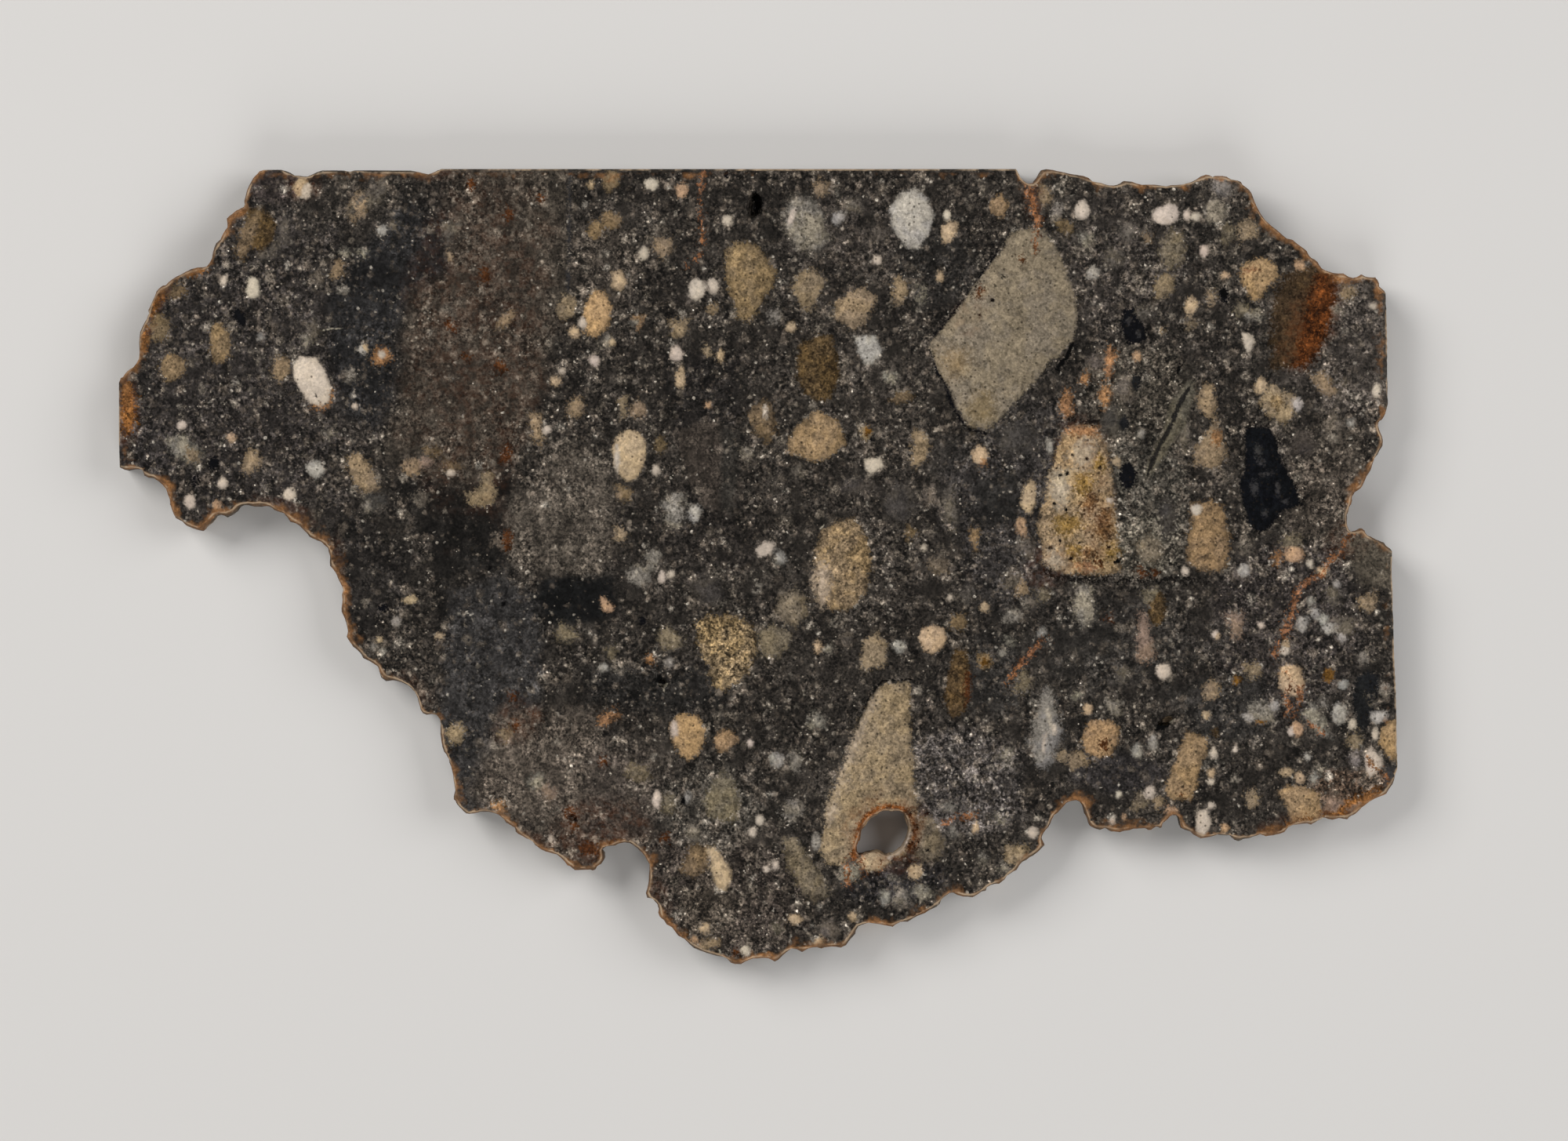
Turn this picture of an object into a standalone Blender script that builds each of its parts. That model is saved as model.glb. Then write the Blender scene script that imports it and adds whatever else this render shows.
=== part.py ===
"""A polished slice of lunar breccia, lying on its sawn back with the polished face up.

One stone, so one solid: a flat plate with a ragged broken outline, three straight saw cuts,
one hole right through it and a few open pits in the polished face.
Metres, +Z up. The origin is the middle of the slice's footprint, on the surface it lies on.
"""

from math import cos, pi, radians, sin

import bmesh
import bpy
from mathutils import Vector, noise

# Driving dimensions
SLICE_LENGTH = 0.0653
THICKNESS = 0.0022

# The outline was read off the photograph, so its points are pixels of the photograph, x right
# and y down. The slice's length there gives the size of one pixel.
LEFTMOST_PIXEL = 151
RIGHTMOST_PIXEL = 1783
PIXEL = SLICE_LENGTH / (RIGHTMOST_PIXEL - LEFTMOST_PIXEL)

# Wall profile: height as a share of the thickness, then how far the wall stands back from the
# outline there, on a broken edge and on a sawn one.
WALL = (
    (0.00, 0.00026, 0.00003),
    (0.14, 0.00010, 0.0),
    (0.42, 0.00004, 0.0),
    (0.70, 0.0, 0.0),
    (0.90, 0.00003, 0.0),
    (1.00, 0.00012, 0.00003),
)
# A broken edge's set-back varies along it by this share, in lumps of about this length.
WALL_VARIATION = 0.7
LUMP_LENGTH = 0.0011
# Each level of the wall has its own lumps. A broken edge's levels wander up and down by this
# share of the thickness.
LEVEL_SHIFT = 1.7
WANDER_SHIFT = Vector((31.0, 17.0, 5.0))
LEVEL_WANDER = 0.05
# The set-back is made in steps of this size, each followed by a little smoothing.
SET_BACK_STEP = 0.00002
SMOOTHING = 0.12

STONE_COLOUR = (0.062, 0.055, 0.049, 1.0)
STONE_ROUGHNESS = 0.42
SHARP_ANGLE = 0.6
WALL_SEED = 3.0
HOLE_SEED = 11.0

# The outline, clockwise from the foot of the short saw cut on the left.
LEFT_SAW_CUT = [(152, 596), (151, 560), (151, 488)]
UPPER_LEFT_BREAK = [
    (152, 481), (156, 480), (158, 476), (161, 473), (165, 470), (170, 468), (173, 463), (176, 457),
    (177, 449), (176, 442), (175, 436), (176, 430), (177, 423), (180, 417), (183, 410), (186, 406),
    (187, 402), (189, 399), (187, 395), (190, 390), (192, 385), (196, 377), (198, 371), (201, 367),
    (206, 363), (210, 363), (213, 359), (218, 355), (224, 352), (231, 349), (235, 346), (242, 342),
    (251, 340), (258, 340), (263, 339), (266, 335), (269, 329), (270, 322), (272, 315), (274, 309),
    (280, 305), (283, 299), (285, 294), (289, 289), (288, 284), (288, 278), (291, 274), (296, 271),
    (300, 267), (305, 265), (310, 263), (311, 260), (310, 256), (312, 249), (313, 243), (316, 236),
    (320, 229), (322, 225), (327, 221), (330, 217),
]
UPPER_LEFT_SAW_CUT = [(335, 216), (347, 216), (358, 216)]
TOP_CHIPS = [
    (364, 217), (369, 219), (374, 223), (381, 224), (392, 224), (398, 221), (404, 218), (409, 216),
    (425, 216), (437, 216), (442, 217), (446, 218), (450, 216), (470, 216), (500, 216), (523, 216),
    (528, 217), (533, 218), (539, 220), (546, 221), (552, 219), (558, 216),
]
TOP_SAW_CUT = [(563, 215), (740, 215), (920, 215), (1110, 215), (1296, 215)]
UPPER_RIGHT_BREAK = [
    (1299, 217), (1301, 221), (1303, 226), (1306, 229), (1309, 231), (1312, 233), (1318, 233),
    (1320, 230), (1323, 226), (1326, 220), (1329, 216), (1334, 215), (1344, 215), (1349, 217),
    (1357, 218), (1366, 220), (1374, 222), (1382, 223), (1389, 226), (1394, 230), (1400, 231),
    (1405, 232), (1409, 234), (1415, 235), (1421, 236), (1426, 234), (1431, 232), (1434, 230),
    (1445, 230), (1450, 233), (1456, 235), (1474, 234), (1488, 236), (1501, 235), (1511, 234),
    (1516, 232), (1521, 231), (1526, 228), (1533, 224), (1539, 222), (1544, 222), (1548, 225),
    (1551, 223), (1561, 223), (1566, 224), (1573, 229), (1580, 229), (1584, 231), (1585, 235),
    (1590, 238), (1595, 241), (1598, 246), (1600, 251), (1601, 257), (1605, 265), (1610, 272),
    (1615, 280), (1619, 284), (1624, 288), (1631, 293), (1637, 298), (1642, 303), (1650, 305),
    (1654, 308), (1658, 312), (1663, 316), (1668, 319), (1669, 322), (1671, 326), (1674, 328),
    (1679, 330), (1682, 333), (1684, 337), (1687, 341), (1692, 344), (1698, 346), (1703, 347),
    (1709, 348), (1715, 348), (1718, 350), (1721, 353), (1727, 354), (1732, 353), (1735, 351),
    (1738, 349), (1741, 351), (1745, 353), (1756, 353), (1759, 357), (1760, 361), (1760, 365),
    (1763, 367), (1767, 370),
]
RIGHT_UPPER_SAW_CUT = [(1768, 374), (1769, 400), (1770, 438), (1770, 480), (1771, 515)]
RIGHT_BAY = [
    (1770, 521), (1769, 528), (1766, 532), (1764, 535), (1761, 536), (1759, 538), (1759, 542),
    (1760, 547), (1762, 552), (1765, 556), (1766, 562), (1765, 568), (1762, 573), (1759, 579),
    (1754, 585), (1752, 591), (1750, 599), (1745, 606), (1742, 613), (1739, 620), (1737, 623),
    (1732, 626), (1729, 628), (1726, 633), (1726, 638), (1725, 643), (1722, 647), (1721, 652),
    (1719, 657), (1719, 663), (1720, 670), (1721, 675), (1724, 678), (1727, 677), (1732, 676),
    (1736, 674), (1739, 674), (1742, 677), (1744, 681), (1746, 683), (1750, 684), (1756, 687),
    (1761, 689), (1766, 691), (1769, 696), (1771, 698), (1774, 699),
]
RIGHT_LOWER_SAW_CUT = [
    (1776, 703), (1776, 736), (1777, 770), (1778, 800), (1779, 839), (1781, 878), (1782, 920),
    (1782, 950), (1783, 968), (1783, 980),
]
LOWER_RIGHT_BREAK = [
    (1781, 987), (1780, 996), (1778, 1001), (1774, 1005), (1771, 1010), (1770, 1013), (1766, 1015),
    (1761, 1017), (1755, 1020), (1748, 1023), (1743, 1027), (1738, 1031), (1734, 1035), (1731, 1038),
    (1726, 1041), (1722, 1043), (1720, 1046), (1716, 1045), (1710, 1044), (1701, 1047), (1696, 1045),
    (1692, 1043), (1687, 1044), (1683, 1047), (1678, 1050), (1674, 1052), (1667, 1050), (1664, 1051),
    (1656, 1052), (1649, 1053), (1644, 1056), (1642, 1059), (1639, 1062), (1633, 1064), (1625, 1066),
    (1616, 1067), (1612, 1065), (1608, 1064), (1604, 1066), (1599, 1068), (1595, 1070), (1586, 1071),
    (1581, 1073), (1576, 1072), (1573, 1069), (1570, 1065), (1561, 1066), (1555, 1065), (1549, 1066),
    (1544, 1068), (1537, 1069), (1533, 1070), (1529, 1068), (1524, 1065), (1520, 1061), (1514, 1059),
    (1507, 1057), (1505, 1053), (1505, 1046), (1503, 1041), (1500, 1040), (1496, 1040), (1493, 1042),
    (1490, 1046), (1487, 1048), (1484, 1050), (1483, 1056), (1481, 1057), (1476, 1055), (1472, 1057),
    (1469, 1059), (1465, 1059), (1462, 1057), (1454, 1057), (1446, 1058), (1442, 1059), (1434, 1060),
    (1430, 1062), (1418, 1061), (1414, 1059), (1410, 1056), (1404, 1059), (1396, 1057), (1391, 1054),
    (1389, 1050), (1388, 1045), (1385, 1038), (1383, 1031), (1381, 1027), (1378, 1023), (1374, 1021),
    (1370, 1021), (1360, 1024), (1356, 1030), (1350, 1037), (1345, 1040), (1342, 1045), (1341, 1050),
    (1338, 1056), (1333, 1061), (1330, 1067), (1329, 1070), (1331, 1074), (1333, 1079), (1329, 1082),
    (1325, 1087), (1322, 1089), (1318, 1092), (1314, 1094), (1310, 1098), (1304, 1100), (1301, 1104),
    (1297, 1110), (1290, 1114), (1285, 1117), (1282, 1123), (1280, 1124), (1275, 1128), (1270, 1128),
    (1264, 1130), (1260, 1132), (1258, 1137), (1253, 1138), (1247, 1142), (1241, 1145), (1236, 1145),
    (1229, 1144), (1221, 1142), (1217, 1139), (1211, 1139), (1206, 1143), (1201, 1148), (1199, 1154),
    (1195, 1157), (1189, 1160), (1180, 1165), (1171, 1169), (1163, 1173), (1158, 1176), (1148, 1177),
    (1143, 1180), (1139, 1183), (1134, 1182), (1123, 1180), (1118, 1179), (1108, 1178), (1098, 1180),
    (1095, 1182), (1092, 1187), (1091, 1192), (1087, 1196), (1083, 1201), (1080, 1206), (1073, 1209),
    (1060, 1208), (1051, 1209), (1048, 1211), (1043, 1209), (1030, 1210), (1023, 1215), (1017, 1212),
    (1008, 1210), (1004, 1215), (999, 1219), (993, 1225), (988, 1228), (985, 1225), (981, 1223),
    (971, 1222), (960, 1223), (952, 1227), (945, 1231), (938, 1231), (932, 1229), (928, 1224),
]
LOWER_LEFT_BREAK = [
    (923, 1221), (909, 1219), (901, 1216), (892, 1213), (885, 1210), (880, 1206), (873, 1198),
    (864, 1194), (861, 1189), (857, 1183), (850, 1180), (847, 1175), (841, 1170), (839, 1165),
    (840, 1159), (839, 1154), (837, 1152), (831, 1146), (825, 1146), (823, 1140), (825, 1134),
    (827, 1126), (828, 1117), (828, 1108), (828, 1102), (824, 1095), (820, 1089), (815, 1085),
    (809, 1080), (803, 1076), (796, 1075), (789, 1076), (784, 1079), (773, 1080), (769, 1082),
    (767, 1084), (770, 1088), (771, 1094), (769, 1099), (766, 1103), (761, 1105), (759, 1110),
    (756, 1111), (753, 1110), (740, 1110), (732, 1111), (729, 1108), (727, 1105), (723, 1105),
    (720, 1099), (715, 1094), (710, 1090), (704, 1089), (695, 1087), (690, 1085), (686, 1082),
    (682, 1079), (679, 1074), (675, 1072), (670, 1070), (665, 1067), (660, 1064), (657, 1061),
    (656, 1056), (651, 1053), (645, 1050), (641, 1045), (636, 1040), (630, 1037), (621, 1036),
    (612, 1036), (605, 1038), (598, 1039), (594, 1038), (590, 1035), (586, 1030), (582, 1026),
    (580, 1022), (578, 1020), (578, 1016), (580, 1009), (580, 1005), (578, 997), (577, 989),
    (574, 978), (572, 968), (569, 963), (566, 959), (563, 953), (562, 946), (561, 937), (561, 922),
    (560, 917), (557, 912), (550, 911), (543, 912), (538, 910), (535, 905), (534, 900), (531, 890),
    (528, 882), (524, 878), (520, 874), (511, 870), (501, 868), (491, 869), (485, 864), (483, 857),
    (482, 850), (476, 847), (470, 843), (462, 840), (459, 834), (455, 829), (449, 825), (445, 819),
    (441, 812), (443, 805), (441, 797), (439, 789), (434, 780), (435, 773), (436, 765), (435, 759),
    (437, 752), (436, 749), (433, 743), (430, 737), (427, 730), (423, 725), (420, 722), (419, 717),
    (420, 709), (418, 703), (418, 699), (414, 696), (409, 691), (403, 689), (398, 687), (393, 685),
    (391, 681), (386, 676), (382, 671), (379, 669), (375, 667), (369, 665), (367, 662), (363, 658),
    (361, 655), (356, 653), (348, 650), (343, 645), (340, 645), (331, 646), (323, 646), (313, 644),
    (307, 645), (303, 646), (302, 651), (295, 656), (288, 660), (283, 657), (278, 656), (274, 658),
    (271, 662), (267, 667), (261, 671), (259, 676), (257, 677), (251, 676), (243, 673), (236, 670),
    (232, 665), (227, 663), (222, 661), (220, 656), (217, 649), (215, 643), (215, 637), (212, 630),
    (210, 623), (206, 619), (200, 613), (195, 610), (187, 609), (182, 606), (180, 600), (176, 598),
    (169, 598), (161, 600), (156, 599),
]
STRETCHES = (
    ("sawn", LEFT_SAW_CUT),
    ("broken", UPPER_LEFT_BREAK),
    ("sawn", UPPER_LEFT_SAW_CUT),
    ("broken", TOP_CHIPS),
    ("sawn", TOP_SAW_CUT),
    ("broken", UPPER_RIGHT_BREAK),
    ("sawn", RIGHT_UPPER_SAW_CUT),
    ("broken", RIGHT_BAY),
    ("sawn", RIGHT_LOWER_SAW_CUT),
    ("broken", LOWER_RIGHT_BREAK),
    ("broken", LOWER_LEFT_BREAK),
)

# The hole at its narrowest, clockwise from its lower left corner.
HOLE = [
    (1093, 1079), (1095, 1074), (1097, 1072), (1098, 1066), (1099, 1061), (1100, 1058), (1102, 1056),
    (1105, 1053), (1107, 1049), (1111, 1044), (1116, 1041), (1120, 1040), (1122, 1037), (1127, 1035),
    (1133, 1034), (1137, 1036), (1141, 1035), (1146, 1035), (1150, 1037), (1153, 1039), (1154, 1042),
    (1155, 1047), (1157, 1052), (1159, 1057), (1158, 1061), (1157, 1066), (1155, 1071), (1152, 1076),
    (1149, 1081), (1146, 1083), (1142, 1086), (1139, 1088), (1134, 1088), (1131, 1090), (1128, 1089),
    (1126, 1087), (1123, 1085), (1118, 1084), (1113, 1085), (1109, 1087), (1104, 1087), (1100, 1089),
    (1096, 1090), (1093, 1086),
]

# Open pits in the polished face: middle, half length, half width, turn in degrees, depth
PITS = {
    "vesicle": ((962, 262), 17, 9.5, 84, 0.0007),
    "vug": ((1488, 919), 12, 5.5, 24, 0.0006),
    "small_vug": ((845, 871), 7, 5.5, 70, 0.0004),
    "rusty_pit": ((729, 1042), 7, 5, 10, 0.0003),
}
# A pit's rings: share of its width, share of its depth. Its mouth is ragged by this share.
PIT_POINTS = 14
PIT_RINGS = ((1.0, 0.0), (0.72, 0.62), (0.38, 0.92))
PIT_RAGGEDNESS = 0.14
PIT_LOBES = 1.6


def middle_of_outline():
    """The middle of the outline's bounding box, in pixels."""
    points = [point for _, stretch in STRETCHES for point in stretch]
    across = [x for x, _ in points]
    down = [y for _, y in points]
    return (min(across) + max(across)) / 2, (min(down) + max(down)) / 2


MIDDLE = middle_of_outline()


def place(pixel):
    """A pixel's place on the slice, in metres."""
    return Vector(((pixel[0] - MIDDLE[0]) * PIXEL, (MIDDLE[1] - pixel[1]) * PIXEL))


def outer_loop():
    """The outline with the stone on its left, and which of its points are sawn."""
    points, sawn = [], []
    for kind, stretch in reversed(STRETCHES):
        for pixel in reversed(stretch):
            points.append(place(pixel))
            sawn.append(kind == "sawn")
    return points, sawn


def inward(points):
    """The direction into the stone at each point of a loop that has the stone on its left."""
    count = len(points)
    normals = []
    for i in range(count):
        along = points[(i + 1) % count] - points[i - 1]
        normals.append(Vector((-along.y, along.x)).normalized())
    return normals


def set_back(points, sawn, depths):
    """The loop moved into the stone by each point's depth, kept free of folds by the smoothing."""
    loop = [point.copy() for point in points]
    steps = max(1, round(max(depths) / SET_BACK_STEP))
    count = len(loop)
    for _ in range(steps):
        normals = inward(loop)
        moved = [loop[i] + normals[i] * (depths[i] / steps) for i in range(count)]
        loop = []
        for i in range(count):
            middle = (moved[i - 1] + moved[(i + 1) % count]) / 2
            share = 0.0 if sawn[i] or depths[i] == 0.0 else SMOOTHING
            loop.append(moved[i].lerp(middle, share))
    return loop


def wall_rings(points, sawn, seed):
    """The wall's rings from the back face up to the polished one, as lists of 3-D points."""
    rings = []
    for level, (share, broken_depth, sawn_depth) in enumerate(WALL):
        depths, heights = [], []
        for i, point in enumerate(points):
            spot = Vector((point.x / LUMP_LENGTH, point.y / LUMP_LENGTH, seed + level * LEVEL_SHIFT))
            lump = noise.noise(spot)
            wander = noise.noise(spot + WANDER_SHIFT)
            depths.append(sawn_depth if sawn[i] else broken_depth * (1 + WALL_VARIATION * lump))
            free = 0 < level < len(WALL) - 1 and not sawn[i]
            heights.append((share + (LEVEL_WANDER * wander if free else 0.0)) * THICKNESS)
        loop = points if max(depths) == 0.0 else set_back(points, sawn, depths)
        rings.append([Vector((p.x, p.y, z)) for p, z in zip(loop, heights)])
    return rings


def pit_rings(pixel, half_length, half_width, turn, depth):
    """A pit's rings from its mouth down, and its lowest point."""
    centre = place(pixel)
    rings = []
    for size, sink in PIT_RINGS:
        ring = []
        for i in range(PIT_POINTS):
            angle = 2 * pi * i / PIT_POINTS
            lobe = Vector((cos(angle) * PIT_LOBES, sin(angle) * PIT_LOBES, pixel[0]))
            reach = PIXEL * size * (1 + PIT_RAGGEDNESS * noise.noise(lobe))
            x = cos(angle) * half_length * reach
            y = sin(angle) * half_width * reach
            c, s = cos(radians(turn)), sin(radians(turn))
            at = centre + Vector((x * c - y * s, x * s + y * c))
            ring.append(Vector((at.x, at.y, THICKNESS - depth * sink)))
        rings.append(ring)
    return rings, Vector((centre.x, centre.y, THICKNESS - depth))


def add_band(bm, lower, upper):
    """Joins two rings of vertices with a band of triangles."""
    count = len(lower)
    for i in range(count):
        j = (i + 1) % count
        bm.faces.new((lower[i], lower[j], upper[j]))
        bm.faces.new((lower[i], upper[j], upper[i]))


def ring_edges(bm, ring):
    """The edges round one ring of vertices."""
    count = len(ring)
    edges = []
    for i in range(count):
        pair = (ring[i], ring[(i + 1) % count])
        edges.append(bm.edges.get(pair) or bm.edges.new(pair))
    return edges


def add_wall(bm, rings):
    """Adds a wall's vertices and faces, and returns its lowest and highest rings."""
    made = [[bm.verts.new(point) for point in ring] for ring in rings]
    for lower, upper in zip(made, made[1:]):
        add_band(bm, lower, upper)
    return made[0], made[-1]


def add_pit(bm, rings, lowest):
    """Adds a pit's bowl and returns its mouth."""
    made = [[bm.verts.new(point) for point in ring] for ring in rings]
    for upper, lower in zip(made, made[1:]):
        add_band(bm, lower, upper)
    bottom = bm.verts.new(lowest)
    last = made[-1]
    for i in range(len(last)):
        bm.faces.new((bottom, last[i], last[(i + 1) % len(last)]))
    return made[0]


def fill(bm, loops, normal):
    """Closes a flat face that is bounded by several loops."""
    edges = [edge for loop in loops for edge in ring_edges(bm, loop)]
    bmesh.ops.triangle_fill(bm, use_beauty=True, edges=edges, normal=normal)


def stone_material():
    """Dark grey-brown breccia with a soft polish."""
    material = bpy.data.materials.new("breccia")
    material.use_nodes = True
    shader = material.node_tree.nodes["Principled BSDF"]
    shader.inputs["Base Color"].default_value = STONE_COLOUR
    shader.inputs["Roughness"].default_value = STONE_ROUGHNESS
    shader.inputs["Metallic"].default_value = 0.0
    return material


def build_slice():
    """The whole slice as one closed mesh."""
    bm = bmesh.new()
    points, sawn = outer_loop()
    outer_low, outer_high = add_wall(bm, wall_rings(points, sawn, WALL_SEED))
    hole_points = [place(pixel) for pixel in HOLE]
    hole_low, hole_high = add_wall(bm, wall_rings(hole_points, [False] * len(HOLE), HOLE_SEED))
    mouths = [add_pit(bm, *pit_rings(*pit)) for pit in PITS.values()]
    fill(bm, [outer_low, hole_low], Vector((0, 0, -1)))
    fill(bm, [outer_high, hole_high, *mouths], Vector((0, 0, 1)))
    bmesh.ops.recalc_face_normals(bm, faces=bm.faces)
    mesh = bpy.data.meshes.new("meteorite_slice")
    bm.to_mesh(mesh)
    bm.free()
    mesh.shade_smooth()
    mesh.set_sharp_from_angle(angle=SHARP_ANGLE)
    mesh.materials.append(stone_material())
    slice_object = bpy.data.objects.new("meteorite_slice", mesh)
    bpy.context.scene.collection.objects.link(slice_object)
    return slice_object


def main():
    for old in list(bpy.data.objects):
        bpy.data.objects.remove(old)
    build_slice()


main()
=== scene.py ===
from math import cos, pi, radians, sin

import bmesh
import bpy
import numpy as np
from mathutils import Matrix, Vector, geometry, kdtree


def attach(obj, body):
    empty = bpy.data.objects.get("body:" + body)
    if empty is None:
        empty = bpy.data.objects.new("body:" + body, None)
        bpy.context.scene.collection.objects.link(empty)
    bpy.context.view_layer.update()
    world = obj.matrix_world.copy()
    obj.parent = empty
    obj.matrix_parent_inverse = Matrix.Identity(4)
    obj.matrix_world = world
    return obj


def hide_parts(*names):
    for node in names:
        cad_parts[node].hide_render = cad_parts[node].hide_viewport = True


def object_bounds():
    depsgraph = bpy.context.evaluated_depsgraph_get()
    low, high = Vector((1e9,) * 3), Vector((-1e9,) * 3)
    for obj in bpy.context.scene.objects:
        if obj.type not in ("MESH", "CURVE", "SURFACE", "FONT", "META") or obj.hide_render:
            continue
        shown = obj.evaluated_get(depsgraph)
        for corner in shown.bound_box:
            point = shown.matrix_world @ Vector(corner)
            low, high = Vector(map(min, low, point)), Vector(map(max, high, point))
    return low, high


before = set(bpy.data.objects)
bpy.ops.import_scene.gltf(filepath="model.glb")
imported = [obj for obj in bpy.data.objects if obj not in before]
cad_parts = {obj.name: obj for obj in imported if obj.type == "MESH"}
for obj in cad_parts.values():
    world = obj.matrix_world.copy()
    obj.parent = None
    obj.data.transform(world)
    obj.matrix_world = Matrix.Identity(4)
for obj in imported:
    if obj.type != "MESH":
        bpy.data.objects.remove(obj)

# The slice is lunar breccia: pale clasts in a dark matrix. Its pattern is described in pixels of
# the photograph, x right and y down, with the depth below the polished face as a third number.
CAD_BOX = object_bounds()
PHOTO_WIDTH, PHOTO_HEIGHT = 2000, 1455
LEFT, RIGHT, TOP, BOTTOM = 151, 1783, 215, 1235
PIXEL = (CAD_BOX[1].x - CAD_BOX[0].x) / (RIGHT - LEFT)
DEPTH = (CAD_BOX[1].z - CAD_BOX[0].z) / PIXEL

# Distances between the fine mesh's points, in pixels
FRONT_STEP = 5.0
BACK_STEP = 11.0
WALL_STEP = 7.2
VEIN_STEP = 5
# As shares of the step: how far points stray, how far they keep from the rim, the longest edge
UNEVEN = 0.14
CLEARANCE = 0.45
LONGEST_EDGE = 1.3
# Clasts narrower than this have some points of their own round them
SMALL_CLAST = 24
POINTS_ROUND = 8
# Distances within which points count as one or lie at a face's level, in metres
SAME_PLACE = 1e-7
SAME_CORNER = 1e-8
SAME_LEVEL = 1e-6
# The kind of triangulation that fills the inside of closed loops
FILL_INSIDE = 1
SHARP_ANGLE = radians(38)

# The layers of clasts, the lowest first
LAYERS = ("bodies", "clasts", "marks")

# Finishes of the clasts: colour as seen, softness and roughness of the edge in pixels, graininess
FINISHES = {
    "white": ((204, 190, 174), 2.4, 2.0, 0.18),
    "milk": ((171, 166, 158), 2.8, 3.4, 0.36),
    "frost": ((138, 132, 121), 4.4, 8.0, 0.60),
    "ice": ((158, 153, 146), 3.4, 3.5, 0.40),
    "cream": ((190, 167, 137), 2.6, 3.2, 0.36),
    "peach": ((184, 152, 122), 2.4, 3.2, 0.40),
    "tan": ((151, 125, 97), 2.6, 4.5, 0.50),
    "wheat": ((172, 144, 106), 2.8, 5.0, 0.45),
    "sand": ((142, 125, 102), 3.0, 7.0, 0.50),
    "honey": ((132, 113, 86), 2.8, 6.0, 0.55),
    "apricot": ((158, 120, 86), 3.4, 8.0, 0.65),
    "earth": ((112, 96, 74), 3.6, 8.0, 0.60),
    "olive": ((116, 106, 89), 3.6, 8.0, 0.60),
    "moss": ((80, 65, 44), 3.0, 5.0, 0.85),
    "stone": ((104, 97, 88), 4.5, 9.0, 0.60),
    "ash": ((72, 68, 64), 6.0, 9.0, 0.50),
    "slate": ((56, 55, 56), 2.6, 5.0, 0.40),
    "lilac": ((138, 132, 127), 5.0, 9.0, 0.45),
    "rose": ((140, 121, 106), 3.6, 8.0, 0.46),
    "glass": ((11, 12, 16), 2.0, 4.0, 0.40),
    # hollow is near-black painted shade inside pits and cracks
    "hollow": ((4, 4, 4), 1.6, 2.0, 0.05),
    "rust": ((88, 54, 30), 4.0, 9.0, 0.70),
    "ember": ((80, 45, 20), 6.0, 9.0, 1.30),
    "crust": ((134, 92, 52), 3.4, 10.0, 0.95),
    "scar": ((100, 94, 83), 2.4, 3.0, 0.50),
    "ring": ((142, 86, 42), 3.4, 5.0, 0.80),
    "buff": ((144, 126, 98), 13.0, 10.0, 0.42),
    "pale": ((190, 172, 149), 8.0, 10.0, 0.42),
    "mustard": ((146, 119, 70), 7.0, 12.0, 0.70),
    "umber": ((102, 77, 52), 7.0, 12.0, 0.90),
    "coal": ((28, 29, 31), 2.4, 4.0, 0.50),
    "seam": ((22, 20, 18), 2.6, 8.0, 0.40),
    "gouge": ((36, 34, 32), 1.6, 1.5, 0.30),
    "amber": ((112, 80, 36), 2.6, 5.0, 0.60),
    "vein": ((148, 104, 74), 2.0, 10.0, 0.80),
    "thread": ((176, 168, 150), 0.9, 1.0, 0.10),
    "diamond": ((132, 121, 104), 2.2, 5.0, 0.42),
    "wedge": ((144, 127, 104), 2.4, 6.0, 0.52),
    "tower": ((152, 130, 104), 2.8, 6.0, 0.70),
    "egg": ((132, 114, 88), 2.6, 6.0, 0.80),
    "granular": ((132, 114, 86), 3.4, 9.0, 1.20),
    "black": ((10, 12, 16), 2.0, 2.5, 0.60),
    "ochre": ((62, 49, 34), 5.0, 9.0, 0.70),
}

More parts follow.
